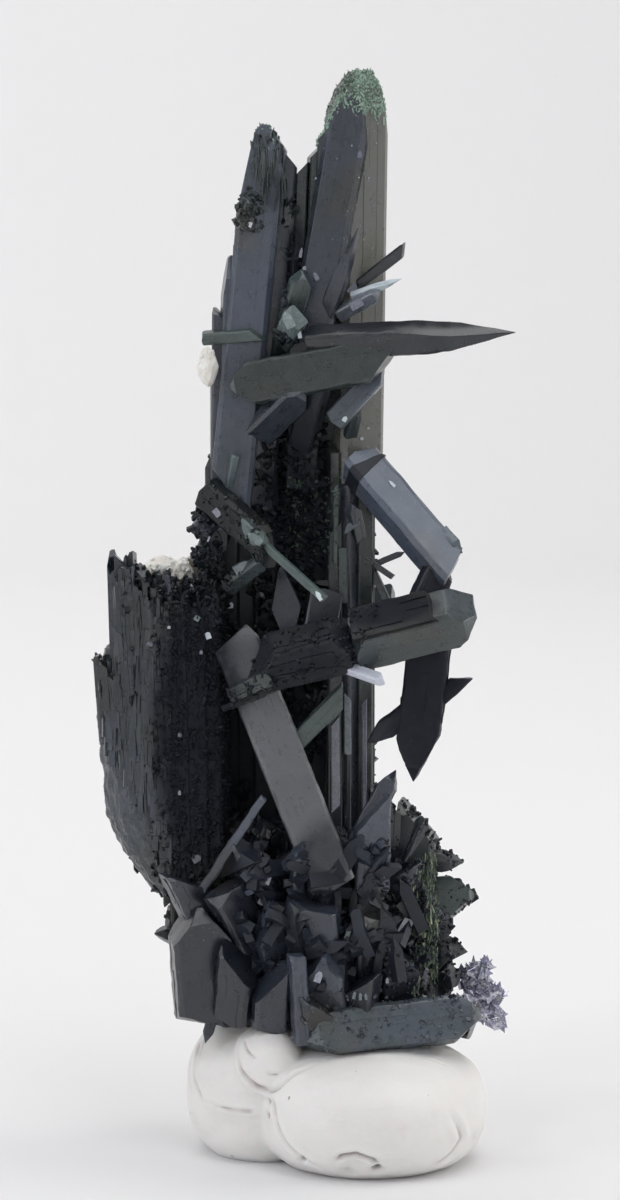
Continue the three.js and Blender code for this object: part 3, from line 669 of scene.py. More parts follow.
# The two tall prisms, their parallel sub-crystals and the flat ribs of the right one's lower half.
uprights = {
    "seed": 101,
    "ribs": 3,
    "step": 0.03,
    "pale": 0.22,
    "violet": 0.7,
    "crystals": [
        crystal((0.95, 1.7, 38.5), (1.3, 1.6, 64.8), (2.9, 3.3), 27, "worn", "slantRight", pale=0.9,
                violet=0.2, finish="grey"),
        crystal((0.35, 1.7, 11), (0.45, 1.7, 43), (2.9, 3.2), 27, "blunt", pale=0.35, violet=0.3, finish="grey"),
        crystal((-1.9, 0.2, 46), (1.25, 0.2, 63.9), (2.5, 2.6), -8, "worn", pale=0.31),
        crystal((-1.5, 0.5, 40), (-0.65, 0.5, 61.5), (0.75, 2.2), 0, "slantLeft", pale=0.15, violet=0.3),
        crystal((-2.0, 0.7, 40), (-1.2, 0.7, 60.4), (0.7, 2.2), 6, "slantLeft", pale=0.2, violet=0.3),
        crystal((-2.5, 0.9, 40), (-1.85, 0.9, 59.4), (0.7, 2.0), -6, "slantLeft", pale=0.12, violet=0.2),
        crystal((-6.3, -0.2, 38.6), (-4.0, -0.1, 61.6), (2.5, 2.3), -4, "nib", "slantLeft", pale=0.49,
                violet=0.8),
        crystal((-4.6, 0.9, 38), (-3.05, 0.9, 60.8), (1.7, 2.2), 4, "slantRight", pale=0.12),
        crystal((-6.5, 0.1, 38.3), (-6.1, 0.1, 53.9), (1.15, 2.1), 6, "nib", "slantLeft", pale=0.3, violet=0.9),
        crystal((-6.9, 0.5, 37.5), (-6.75, 0.5, 50.8), (1.0, 2.0), -5, "slantRight"),
        crystal((-6.95, 0.8, 36.5), (-6.95, 0.8, 46.6), (0.9, 1.8), 8, "slantRight"),
        crystal((-0.1, -0.6, 17), (-0.1, -0.4, 38.2), (0.9, 1.5), 12, "slantLeft", pale=0.05),
        crystal((0.8, -0.3, 17), (0.8, -0.2, 40.4), (1.1, 1.6), -30, "blunt", pale=0.12),
        crystal((1.7, 0.3, 17), (1.7, 0.3, 41), (1.0, 1.6), 8, "slantRight", pale=0.1, violet=0.2),
        # The thin crystals with the bright finish are painted highlights.
        crystal((0.02, -1.35, 20.6), (0.0, -1.3, 26.4), (0.5, 0.3), 4, "slantLeft", "slantRight", pale=0.2,
                finish="bright"),
        crystal((0.78, -1.3, 24.1), (0.75, -1.25, 27.8), (0.4, 0.3), -6, "slantRight", "blunt", pale=0.12,
                finish="bright"),
        crystal((1.75, -0.55, 20.4), (1.75, -0.5, 27.4), (0.3, 0.3), 12, "slantLeft", "slantRight", pale=0,
                finish="bright"),
        crystal((0.0, -1.2, 35.6), (0.05, -1.15, 40.4), (0.26, 0.25), 10, "slantLeft", "blunt", pale=0.5,
                violet=0),
        crystal((0.5, -1.2, 33.2), (0.45, -1.15, 36.6), (0.5, 0.3), -8, "blunt", "blunt", pale=0.45, violet=0),
        crystal((0.9, -1.25, 37.3), (1.2, -1.2, 38.6), (0.75, 0.3), 5, "slantLeft", "slantRight", pale=0.75),
    ],
}

# Columns behind the uprights that tie them together.
spine = {
    "seed": 3, "ribs": 6, "pale": 0, "finish": "dark",
    "tops": [45.5, 54.5, 57.6, 57.4, 58.4, 57, 61.4, 62.3],
    "left": -6.5, "spacing": 1.16, "back": 2.3, "column": (1.55, 2.7), "floor": 11, "drift": 0.35, "wave": 2.4,
}


def spineCrystals():
    for i, top in enumerate(spine["tops"]):
        x = spine["left"] + spine["spacing"] * i
        y = spine["back"] + spine["drift"] * math.sin(i * spine["wave"])
        end = "slantRight" if i % 2 else "slantLeft"
        yield crystal((x, y, spine["floor"]), (x, y, top), spine["column"], 0, end)


# Broad blades that lie across the uprights.
blades = {
    "spear_blade": {
        "seed": 7, "ribs": 1, "step": 0.015, "pale": -0.04, "violet": 0.7, "worn": 0.05,
        "crystals": [crystal((-1.5, -2.2, 48.8), (10.6, -6.0, 49.55), (1.75, 1.5), 32, "lance")],
    },
    "broad_blade": {
        "seed": 8, "ribs": 2, "step": 0.02, "pale": 0.18, "violet": 0.1, "worn": 0.06,
        "crystals": [crystal((-6.2, -1.4, 46.1), (4.4, -3.7, 48.3), (2.6, 1.6), -6, "slantRight", "chisel")],
    },
    "slanted_blade": {
        "seed": 9, "ribs": 0, "pale": 0.85, "violet": 0.7, "worn": 0.05,
        "crystals": [
            crystal((1.1, -0.8, 42.0), (7.15, -4.2, 35.05), (2.3, 2.2), -26, "broken", "blunt"),
            crystal((6.3, -3.4, 37.7), (7.5, -4.3, 36.5), (0.6, 0.9), -26, "point"),
            crystal((1.6, -1.08, 41.43), (2.2, -1.42, 40.74), (2.44, 2.34), -26, "wedge", "wedge", pale=0,
                    finish="dark"),
        ],
    },
    "cross_blade": {
        "seed": 10, "ribs": 2, "step": 0.02, "pale": 0.3, "violet": 0.5, "worn": 0.06,
        "crystals": [crystal((0.9, -5.45, 31.34), (8.2, -6.0, 33.2), (2.9, 2.7), 38, "chisel", "blunt")],
    },
    # The cross blade's left end and a thin slab along its upper face take the dark finish and a lower tone as
    # painted shade.
    "cross_blade_root": {
        "seed": 14, "ribs": 5, "step": 0.08, "pale": -0.15, "finish": "dark", "worn": 0.06,
        "crystals": [
            crystal((-6.3, -4.9, 29.5), (1.5, -5.49, 31.49), (2.84, 2.64), 38, "chisel", "slantLeft"),
            crystal((0.87, -6.33, 32.46), (5.8, -6.7, 33.72), (0.3, 2.6), 38, "slantLeft"),
            crystal((-6.7, -5.3, 27.4), (-3.6, -6.0, 28.7), (0.34, 0.3), 10, "blunt", "blunt"),
            crystal((-6.3, -5.6, 28.2), (-3.7, -6.2, 29.45), (0.9, 0.5), 10, "blunt", "blunt", pale=0.25,
                    violet=0, finish="faces"),
        ],
    },
    "diagonal_blade": {
        "seed": 11, "ribs": 2, "step": 0.02, "finish": "grey", "pale": 0.75, "violet": 1.0, "worn": 0.05,
        "crystals": [crystal((0.0, -5.4, 16.6), (-6.15, -4.05, 31.9), (2.7, 1.6), 6, "roof", "blunt")],
    },
    "rough_blade": {
        "seed": 15, "ribs": 6, "step": 0.08, "pale": -0.1, "violet": 0.2, "finish": "dark", "worn": 0.08,
        "crystals": [
            crystal((-7.8, -0.9, 40.0), (-3.4, -4.6, 36.4), (1.8, 1.3), 24, "slantLeft", "blunt"),
            crystal((-5.6, -3.35, 38.25), (-4.2, -4.5, 37.1), (0.95, 0.7), 24, "chisel", "slantRight",
                    pale=1, violet=0, finish="faces"),
        ],
    },
    "side_blades": {
        "seed": 12, "ribs": 3, "pale": 0.2, "violet": 0.2,
        "crystals": [
            crystal((-4.4, -4.0, 37.2), (-0.6, -6.6, 34.0), (0.45, 0.42), 20, "blunt", pale=0.75, violet=0),
            crystal((-3.2, -4.3, 24.4), (0.8, -4.3, 28.5), (1.1, 0.9), 0, "slantRight", "blunt", pale=0.5),
        ],
    },
    "hanging_plate": {
        "seed": 13, "ribs": 3, "pale": 0.1, "violet": 0.9, "finish": "dark", "worn": 0.08,
        "crystals": [
            crystal((5.7, -4.4, 32.5), (4.6, -4.2, 22.9), (2.5, 1.2), 10, "point"),
            crystal((4.7, -4.3, 26.6), (7.8, -4.2, 29.4), (0.9, 0.7), 0, "slantLeft"),
            crystal((5.2, -4.3, 27.7), (1.9, -4.0, 25.2), (1.2, 0.8), 0, "point"),
            crystal((6.2, -3.9, 35.6), (4.6, -4.6, 32.4), (1.9, 1.2), -14, "blunt", "blunt"),
        ],
    },
}

# Small crystals that can be told apart on the upper half.
sprigs = {
    "seed": 21,
    "ribs": 2,
    "step": 0.03,
    "pale": 0.3,
    "violet": 0.5,
    "crystals": [
        # Crystals with the bright finish are painted highlights.
        crystal((0.7, 0.5, 51.6), (4.25, -1.3, 54.4), (0.65, 0.6), 0, "slantRight", pale=0),
        crystal((1.0, -0.8, 51.5), (4.0, -2.2, 52.6), (0.46, 0.4), 35, "lance", pale=1, finish="bright"),
        crystal((-0.5, -0.8, 50.4), (1.4, -2.3, 55.7), (1.0, 0.7), -20, "lance", pale=0.2, violet=0.9),
        crystal((0.2, -0.8, 50.4), (2.6, -2.0, 51.7), (0.8, 0.7), 20, "chisel", pale=0.1, finish="bright"),
        crystal((-3.4, 0.4, 47.6), (-1.9, -2.4, 52.9), (1.3, 0.9), 20, "chisel", violet=0.1),
        crystal((-3.0, -0.2, 48.8), (-2.3, -3.0, 50.4), (1.4, 1.0), -24, "blunt", pale=0, violet=0.2,
                finish="bright"),
        crystal((-0.2, -2.2, 44.0), (2.8, -2.4, 47.3), (1.3, 0.9), -12, "chisel", "blunt", pale=0.6),
        crystal((0.9, -0.6, 43.2), (1.3, -2.0, 45.0), (0.8, 0.5), 30, "point"),
        crystal((-4.6, -0.6, 43.4), (-1.8, -2.9, 46.2), (1.9, 1.3), 30, "chisel"),
        crystal((-2.0, 0.0, 42.6), (-1.0, -2.6, 46.6), (1.5, 1.2), -20, "blunt", pale=0, finish="dark"),
        crystal((-2.6, 0.8, 49.5), (-2.3, -0.3, 54.8), (0.8, 0.8), 30, "point"),
        crystal((-2.9, 0.6, 54.0), (-2.6, -0.2, 57.2), (0.8, 0.7), -10, "slantRight"),
        crystal((-7.9, -0.5, 49.0), (-4.2, -1.6, 49.3), (0.75, 0.8), 15, "slantLeft", "blunt", violet=0),
        crystal((-5.4, -0.5, 55.2), (-5.2, -1.8, 57.2), (1.0, 0.8), 40, "chisel"),
        crystal((-4.6, -0.6, 55.6), (-5.85, -1.8, 56.0), (0.9, 0.8), 10, "chisel"),
        crystal((-6.7, -0.7, 38.6), (-5.9, -2.2, 42.2), (0.42, 0.42), 20, "blunt", pale=0.9),
        crystal((-7.5, 0.6, 37.4), (-7.5, 0.4, 41.9), (0.55, 0.7), 0, "point"),
        crystal((-6.4, -2.2, 34.2), (-4.1, -4.1, 36.2), (0.9, 0.8), 25, "chisel", "blunt"),
        crystal((-7.0, -0.2, 38.6), (-8.2, -1.9, 37.4), (1.2, 0.9), 20, "blunt"),
        crystal((-6.9, 0.4, 36.2), (-8.3, -0.8, 38.9), (0.9, 0.8), 20, "point"),
        crystal((-7.3, 1.0, 34.4), (-8.4, -0.4, 36.3), (0.8, 0.8), 0, "chisel"),
        crystal((-7.0, 0.9, 33.4), (-7.8, -0.5, 37.0), (1.5, 1.1), 10, "chisel"),
        crystal((-13.4, -1.0, 29.3), (-14.6, -1.4, 29.9), (0.6, 0.6), 0, "point"),
        crystal((0.3, -5.2, 30.0), (2.8, -7.0, 29.3), (0.65, 0.6), -40, "chisel", pale=0.9, violet=0.7,
                finish="bright"),
        crystal((1.8, 0.2, 35.2), (4.2, 0.0, 36.2), (0.34, 0.34), 0, "point"),
        crystal((1.8, 0.2, 35.8), (3.5, -0.5, 34.7), (0.36, 0.34), 0, "blunt"),
        crystal((2.1, 0.1, 35.4), (3.5, -0.9, 32.5), (0.45, 0.4), 20, "blunt"),
        crystal((-2.7, -1.7, 30.5), (-3.2, -1.0, 35.4), (2.0, 0.9), -6, "leaf", "leaf", pale=0.2, violet=0.8),
        crystal((-2.9, 1.4, 32.6), (-2.9, -1.3, 33.0), (0.9, 0.9), 0, "blunt", pale=0, finish="dark"),
        crystal((-1.1, -1.7, 30.9), (-0.5, -1.3, 34.2), (2.0, 1.0), 10, "blunt", "blunt", pale=0.15, violet=0.6),
        crystal((-0.8, 1.4, 32.2), (-0.8, -1.3, 32.6), (0.9, 0.9), 0, "blunt", pale=0, finish="dark"),
        crystal((1.5, -0.2, 37.0), (1.0, -1.8, 39.2), (0.8, 0.6), 20, "chisel"),
    ],
}

# Small crystals that line the hollow between the left block and the right prism.
hollow = {
    "seed": 4, "ribs": 2, "pale": 0, "finish": "dark",
    "places": 5, "count": 17, "x": (-7.4, -0.4), "z": (19, 44), "back": 1.2, "rooted": 0.3, "reach": (1.2, 2.6),
    "width": (0.5, 1.1), "flat": 0.7, "ends": ("point", "chisel", "blunt"),
}


def hollowCrystals():
    draw = randomFrom(hollow["places"])
    for i in range(hollow["count"]):
        x, z, width = (between(hollow[name], draw()) for name in ("x", "z", "width"))
        out = Vector((swing(draw, 1.2), -0.8, draw() * 1.4 - 0.2)).normalized() * between(hollow["reach"], draw())
        foot = (x, hollow["back"] + hollow["rooted"], z - hollow["rooted"])
        tip = (x + out.x, hollow["back"] + out.y, z + out.z)
        yield crystal(foot, tip, (width, width * hollow["flat"]), draw() * 90, hollow["ends"][i % 3])


# The larger crystals of the base.
baseCrystals = {
    "seed": 31,
    "ribs": 3,
    "step": 0.04,
    "pale": 0.1,
    "violet": 0.9,
    "worn": 0.08,
    "crystals": [
        crystal((1.2, -3.8, 19.2), (3.65, -3.6, 23.6), (1.1, 1), -14, "point", pale=0.2),
        crystal((2.1, -4.3, 14.6), (2.2, -4.8, 22.2), (2.1, 1.2), 8, "slantLeft", "slantRight", pale=0.4),
        crystal((-8.1, -4.4, 16.2), (-4.2, -6, 22.3), (0.5, 0.45), 0, "blunt", pale=0.5),
        crystal((-2.4, -4.6, 14.4), (-2.1, -6.2, 19.4), (0.8, 0.7), 20, "chisel", pale=0.35),
        crystal((-2.8, -5.9, 7.9), (8.7, -4, 8.8), (2.7, 2.2), -20, "chisel", "point", pale=0.52, violet=0.6),
        crystal((-2, -5.9, 7.6), (-2.3, -7, 13.2), (0.95, 1.1), 18, "blunt", pale=0.45),
        crystal((-7.6, -3.2, 8.4), (-8.1, -4.7, 15.6), (3.7, 2.6), 10, "chisel", "blunt", pale=-0.05,
                violet=1.2),
        crystal((-6, -4.4, 8.6), (-5.6, -6, 13.4), (2.2, 2.2), -18, "slantRight", "blunt", pale=-0.05,
                violet=1.2),
        crystal((-3.9, -4.6, 8.2), (-3.8, -6.5, 12.4), (2.1, 1.9), 10, "slantLeft", "blunt", pale=0.1,
                violet=1.2),
        crystal((-7.3, -3.8, 8.8), (-7.75, -4.2, 7.1), (0.6, 0.6), 0, "point"),
        crystal((-7.2, -3.2, 13), (-9.3, -4.6, 17.9), (2.2, 1.8), 24, "slantRight", pale=0.1),
        crystal((-4.9, -3.6, 13), (-6.6, -5.6, 16.9), (2.4, 1.5), 30, "blunt", pale=0.12),
        crystal((-3.8, -3.6, 15), (-5.2, -5.6, 19.6), (1.8, 1.3), -24, "slantRight", pale=0.05),
        crystal((-3.4, -4, 11.8), (-4.4, -6.3, 15.6), (2, 1.6), 16, "slantLeft", pale=0.15),
        crystal((-1.1, -3.8, 10.8), (-1.4, -6, 16.2), (3.2, 1.9), -12, "blunt", pale=0.2),
        crystal((-1.8, -4, 15), (-0.7, -5.4, 18.6), (2.2, 1.4), -16, "slantLeft", pale=0.1),
        crystal((-0.3, -4.6, 9.2), (-0.7, -6.5, 12.9), (2.2, 1.6), -12, "chisel", pale=0.35),
        crystal((-0.8, -5, 7.8), (-1, -6.6, 10.9), (2.4, 1.6), 15, "slantRight", pale=0.1, violet=0.9),
        crystal((2, -3.4, 10.6), (2.1, -5.5, 15.4), (2, 1.6), 22, "blunt", pale=0),
        crystal((3.5, -3.4, 9.8), (4.1, -5.2, 13.7), (2.3, 1.6), 24, "slantRight", pale=0.05, violet=0.9),
        crystal((1.4, -4.6, 9), (1.7, -6.1, 12), (1.9, 1.5), -26, "slantLeft", pale=0.1),
        crystal((3.4, -2.4, 13.6), (4.2, -3.9, 18.4), (2, 1.4), -22, "slantLeft", pale=0.1),
        crystal((5, -1.8, 12.6), (6, -3.2, 16.4), (1.6, 1.4), 20, "slantRight", pale=0.2),
        crystal((-8.6, 0.5, 12.8), (-10.9, -1.2, 13.2), (1.1, 1), 10, "point"),
    ],
}

# The crust on the right: thin plates and spikes along a slanting slab.
rightCrust = {
    "seed": 41,
    "ribs": 4,
    "pale": 0.12,
    "violet": 0.4,
    "crystals": [
        crystal((2.8, 0.8, 12.0), (3.4, 0.8, 22.2), (3.0, 3.4), 10, "slantRight"),
        crystal((4.6, 0.6, 9.6), (5.1, 0.6, 21.0), (2.4, 3.2), -8, "slantRight"),
        crystal((4.6, 0.0, 17.6), (7.85, -0.4, 17.45), (1.2, 1.0), 12, "point"),
        crystal((4.6, 0.4, 14.9), (8.45, 0.2, 15.3), (2.6, 1.0), -24, "chisel", pale=0.5, violet=0.1),
        crystal((4.8, 0.4, 12.3), (8.1, -0.2, 11.9), (1.4, 1.2), 20, "point"),
        crystal((5.0, 0.2, 10.2), (7.6, -0.4, 10.3), (1.8, 1.4), 15, "chisel"),
        crystal((4.0, -0.4, 17.0), (5.4, -1.0, 20.2), (0.8, 0.8), 30, "chisel"),
        crystal((4.4, 1.4, 8.8), (7.2, 1.2, 10.8), (2.4, 2.4), 24, "chisel"),
        crystal((4.8, -0.8, 8.5), (8.6, -2.2, 7.9), (2.0, 1.8), -10, "blunt"),
    ],
}

# Crystals on the back.
backCrystals = {
    "seed": 51,
    "ribs": 3,
    "pale": 0.2,
    "violet": 0.5,
    "crystals": [
        crystal((-3.0, 2.6, 27.0), (3.6, 5.2, 33.4), (2.2, 1.5), 150, "chisel", "point", pale=0.5),
        crystal((1.6, 2.8, 24.0), (-6.8, 5.4, 21.8), (2.0, 1.6), 200, "point", "blunt"),
        crystal((-1.4, 3.0, 39.5), (-5.8, 4.7, 44.6), (1.3, 1.0), 170, "point", "chisel"),
        crystal((-6.2, 2.6, 15.0), (-3.4, 6.2, 20.2), (1.8, 1.3), 30, "chisel"),
        crystal((0.2, 2.8, 12.6), (2.8, 6.0, 18.4), (2.0, 1.4), -20, "point"),
        crystal((-2.2, 3.4, 10.2), (-1.0, 6.6, 15.0), (2.2, 1.5), 12, "chisel"),
        crystal((3.4, 2.8, 10.2), (5.0, 5.2, 13.6), (1.7, 1.3), 35, "chisel"),
        crystal((-7.2, 2.4, 10.0), (-8.2, 5.2, 14.0), (2.0, 1.4), -25, "blunt"),
    ],
}

# The fibrous block: upright columns in rows round a smooth core, with ragged tops and feet that climb leftwards.
block = {
    "seed": 6, "ribs": 6, "step": 0.05,
    "places": 11,
    "bright": -10.6,  # only left of this x, give or take half the blur
    "blur": 1.8,
    "lean": 0.35,
    "tops": [(-14.1, 29.8), (-13.2, 30.9), (-12.9, 36.4), (-12.1, 36.9), (-11.6, 35.7), (-11, 35.3), (-8, 35.2)],
    "feet": [(-14.1, 26), (-13.6, 24), (-12.6, 21.6), (-11.4, 20), (-10.6, 16.6), (-9.8, 13.2), (-8, 11.6)],
    "rows": [
        {"y": -2.5, "from": -13.3, "count": 8, "spacing": 0.82, "column": (1.2, 1.8), "drop": 0.9},
        {"y": -1.0, "from": -13.75, "count": 7, "spacing": 1.05, "column": (1.4, 2.4), "drop": 0},
        {"y": 0.9, "from": -12.5, "count": 5, "spacing": 1.1, "column": (1.6, 2.4), "drop": 1.6},
        {"y": 2.7, "from": -12.2, "count": 5, "spacing": 1.2, "column": (1.8, 2.0), "drop": 2.4},
    ],
    "torn": {"splinters": 4, "tear": 1.1},
    "darkTone": {"finish": "dark", "pale": 0, "violet": 0.4},
}


def blockCrystals():
    draw = randomFrom(block["places"])
    for row in block["rows"]:
        for i in range(row["count"]):
            x = row["from"] + row["spacing"] * i + swing(draw, 0.2)
            top = valueAt(block["tops"], x) - row["drop"] - draw() * 0.7
            floor = valueAt(block["feet"], x) + abs(row["y"]) * 0.3 + draw() * 0.5
            y = row["y"] + swing(draw, 0.5)
            end = "slantLeft" if i % 2 else "slantRight"
            foot = (x + block["lean"], y * 0.85, floor)
            turn = swing(draw, 26)
            tone = block["darkTone"]
            if x + swing(draw, block["blur"]) < block["bright"]:
                tone = {"pale": 0.1 + 0.2 * draw(), "violet": 0.5 + 0.4 * draw()}
            yield crystal(foot, (x, y, top), row["column"], turn, end, end, **block["torn"], **tone)


# Solid masses, each a stack of oval rings: (height, left, right, front, back).
core = {
    "sides": 24, "rough": 0.7, "seed": 61,
    "rings": [
        (4.8, -5.4, 5.0, -3.2, 3.2),
        (8.6, -8.2, 6.6, -4.2, 4.2),
        (13.0, -9.6, 6.0, -4.8, 4.6),
        (17.4, -9.2, 4.6, -3.4, 3.8),
        (20.0, -7.6, 2.0, -1.4, 2.8),
    ],
}
blockCore = {
    "sides": 24, "rough": 0.5, "seed": 62,
    "rings": [
        (15.6, -10.9, -7.2, -2.0, 2.2),
        (18.1, -12.8, -7.0, -2.7, 2.8),
        (20.4, -13.8, -7.0, -2.9, 3.2),
        (26.0, -14.3, -7.2, -2.9, 3.2),
        (30.4, -13.9, -7.6, -2.3, 2.8),
    ],
}
massSkin = {"levels": 4, "lumps": 0.9, "pale": 0.15, "violet": 0.6}


def outlineAt(rings, z, a):  # the point at angle a round a mass's oval outline at height z
    left, right, front, back = (valueAt([(ring[0], ring[side]) for ring in rings], z) for side in range(1, 5))
    x = (left + right) / 2 + (right - left) / 2 * math.cos(a)
    y = (front + back) / 2 + (back - front) / 2 * math.sin(a)
    return Vector((x, y, z))


def mass(rings, sides, rough, seed):
    # a ring drawn out from level to level, closed at both ends, subdivided and roughened
    bpy.ops.object.select_all(action="DESELECT")
    level = rings[0][0]
    bpy.ops.mesh.primitive_circle_add(vertices=sides, radius=1, fill_type="NGON", location=(0, 0, level))
    solid = bpy.context.object
    bpy.ops.object.transform_apply(location=True, rotation=False, scale=False)
    with editing():
        for ring in rings[1:]:
            pick("FACE", lambda face: all(abs(corner.co.z - level) < 1e-4 for corner in face.verts))
            bpy.ops.mesh.extrude_region_move(TRANSFORM_OT_translate={"value": (0, 0, ring[0] - level)})
            level = ring[0]
    for corner in solid.data.vertices:
        corner.co = outlineAt(rings, corner.co.z, math.atan2(corner.co.y, corner.co.x))
    with editing():
        bpy.ops.mesh.normals_make_consistent(inside=False)
    levels = massSkin["levels"]
    modified(solid, "SUBSURF", subdivision_type="SIMPLE", levels=levels, render_levels=levels)
    modified(solid, "DISPLACE", texture=clouds(massSkin["lumps"], 3), strength=rough, mid_level=0.5)
    projectLength(solid, randomFrom(seed))
    setTone(solid, massSkin["pale"], massSkin["violet"])
    return solid


# Small crystals all round the core, leaning up and out of it.
crust = {
    "seed": 5, "ribs": 2, "pale": 0.05, "finish": "dark",
    "places": 29, "count": 42, "z": (9.8, 19.6), "width": (0.8, 1.7), "reach": (0.7, 2.0), "flat": (0.55, 0.9),
    "rooted": 1.4, "ends": ("point", "chisel", "slantLeft", "blunt"),
}


def crustCrystals():
    draw = randomFrom(crust["places"])
    goldenAngle = math.pi * (3 - math.sqrt(5))
    for i in range(crust["count"]):
        z = between(crust["z"], (i + 0.5) / crust["count"])
        a = i * goldenAngle + draw() * 0.5
        skin = outlineAt(core["rings"], z, a)
        out = Vector((math.cos(a) * 0.7, math.sin(a) * 0.9, 0.1 + draw() * 1.3)).normalized()
        width = between(crust["width"], draw())
        tip = skin + out * between(crust["reach"], draw())
        across = (width, width * between(crust["flat"], draw()))
        yield crystal(skin - out * crust["rooted"], tip, across, draw() * 180, crust["ends"][i % 4])


recipes = {
    "upright_prisms": uprights,
    "back_columns": {**spine, "crystals": spineCrystals()},
    **blades,
    "small_crystals": sprigs,
    "hollow_crystals": {**hollow, "crystals": hollowCrystals()},
    "base_crystals": baseCrystals,
    "right_crust": rightCrust,
    "back_crystals": backCrystals,
    "fibrous_block": {**block, "crystals": blockCrystals()},
    "crust_crystals": {**crust, "crystals": crustCrystals()},
}
rock = {}
for name, recipe in recipes.items():
    rock[name] = finished(growAll(recipe), name, "aegirine", "aegirine_cluster")
rock["base_mass"] = finished(mass(**core), "base_mass", "aegirine", "aegirine_cluster", "dark")
rock["block_mass"] = finished(mass(**blockCore), "block_mass", "aegirine", "aegirine_cluster", "faces")

# Tiny crystals are modelled once each, (width, depth, length, bevel, end), and copied by the hundred into a mesh.
tinyShapes = {
    "point": (1, 0.8, 3, 0, "point"),
    "chisel": (1, 0.6, 3, 0, "chisel"),
    "slant": (1, 0.7, 3, 0, "slantLeft"),
    "blunt": (1, 0.9, 3, 0, "blunt"),
    "needle": (1, 0.9, 14, 0, "lance"),
    "lath": (1, 0.5, 12, 0, "slantRight"),
    "plate": (1, 0.07, 1, 0.02, "slantRight"),
    "grain": (1, 0.9, 1.1, 0.18, "blunt"),
}


def tinyMasters():
    made = {}
    for name, (width, depth, length, bevel, end) in tinyShapes.items():
        middle = Vector((0, 0, length / 2))
        planes = facetPlanes(end, width / 2, depth / 2, length, 1)
        solid = prismSolid((width, depth, length), middle, bevel, planes, 0)
        projectLength(solid, lambda: 0)
        places = np.zeros(len(solid.data.loops) * 2)
        solid.data.uv_layers.active.data.foreach_get("uv", places)
        corners = np.array([corner.co + middle for corner in solid.data.vertices])
        faces = [list(face.vertices) for face in solid.data.polygons]
        made[name] = {"corners": corners, "faces": faces, "map": places.reshape(-1, 2), "length": length}
        bpy.data.objects.remove(solid)
    return made


masters = tinyMasters()


def scattered(places):
    # each place is (master, foot, tip, width, turn, pale, violet); every copy gets its own corners
    corners, faces, maps, tones = [], [], [], []
    count = 0
    for i, (kind, foot, tip, width, turn, pale, violet) in enumerate(places):
        one = masters[kind]
        stretch = np.array((width, width, (tip - foot).length / one["length"]))
        turned = np.array(frameAlong(foot, tip, turn))
        corners.append((one["corners"] * stretch) @ turned[:3, :3].T + turned[:3, 3])
        faces += [[count + corner for corner in face] for face in one["faces"]]
        maps.append(one["map"] * stretch[[0, 2]] + (i * 3.7 % patternSpan, i * 1.9 % patternSpan))
        tones.append(np.full((len(one["corners"]), 2), (pale, violet)))
        count += len(one["corners"])
    mesh = bpy.data.meshes.new("scattered")
    mesh.from_pydata(np.concatenate(corners).tolist(), [], faces)
    mesh.uv_layers.new(name="along").data.foreach_set("uv", np.concatenate(maps).astype(np.float32).ravel())
    for name, column in zip(("pale", "violet"), np.concatenate(tones).astype(np.float32).T):
        mesh.attributes.new(name, "FLOAT", "POINT").data.foreach_set("value", column.copy())
    piece = bpy.data.objects.new("scattered", mesh)
    bpy.context.collection.objects.link(piece)
    return piece


def treeOf(pieces):  # the pieces' faces in millimetres, to find where a ray lands
    corners, faces = [], []
    for piece in pieces:
        start = len(corners)
        corners += [corner.co / mm for corner in piece.data.vertices]
        faces += [[start + corner for corner in face.vertices] for face in piece.data.polygons]
    return BVHTree.FromPolygons(corners, faces)


def landed(tree, zone, draw):
    # random points of the zone's box, carried along its side onto the rock; yields (point, normal)
    side = Vector(zone["side"]).normalized()
    tries = 0
    found = 0
    while found < zone["count"] and tries < zone["count"] * zone["patience"]:
        tries += 1
        aim = Vector([between(span, draw()) for span in zone["box"]])
        point, normal, face, distance = tree.ray_cast(aim + side * zone["far"], -side)
        if point is None or any(not low <= value <= high for value, (low, high) in zip(point, zone["box"])):
            continue
        found += 1
        yield point, normal


def outside(zone, point, foot, top, chance):  # past the zone's outline, or thinned out towards its top
    if "under" in zone and top.z > valueAt(zone["under"], point.x) - 0.2:
        return True
    if "over" in zone and foot.z < valueAt(zone["over"], point.x) + 0.3:
        return True
    low, high = zone["box"][2]
    return (point.z - low) / (high - low) > 1.1 - chance() * zone["thins"]


def grownOn(tree, zone):
    # tiny crystals rooted in the rock; lean is how much they follow (the rock's normal, upwards, chance)
    draw = randomFrom(zone["seed"])
    follow, rise, stray = zone["lean"]
    places = []
    for point, normal in landed(tree, zone, draw):
        width = between(zone["width"], draw())
        spread = Vector((draw() - 0.5, draw() - 0.5, draw() - 0.5)) * 2
        along = (normal * follow + Vector((0, 0, rise)) + spread * stray).normalized()
        reach = along * width * between(zone["slim"], draw())
        kind = zone["kinds"][int(draw() * len(zone["kinds"]))]
        pale = zone["pale"] + swing(draw, zone["vary"])
        # painted glints: a few are paler
        pale += zone["glint"] if draw() < zone["bright"] else 0
        foot = point - reach * zone["sink"]
        turn = swing(draw, zone["twist"])
        violet = zone["violet"] + swing(draw, 0.4)
        if not outside(zone, point, foot, foot + reach, draw):
            places.append((kind, foot, foot + reach, width, turn, pale, violet))
    return scattered(places)


small = ("point", "chisel", "slant", "blunt")
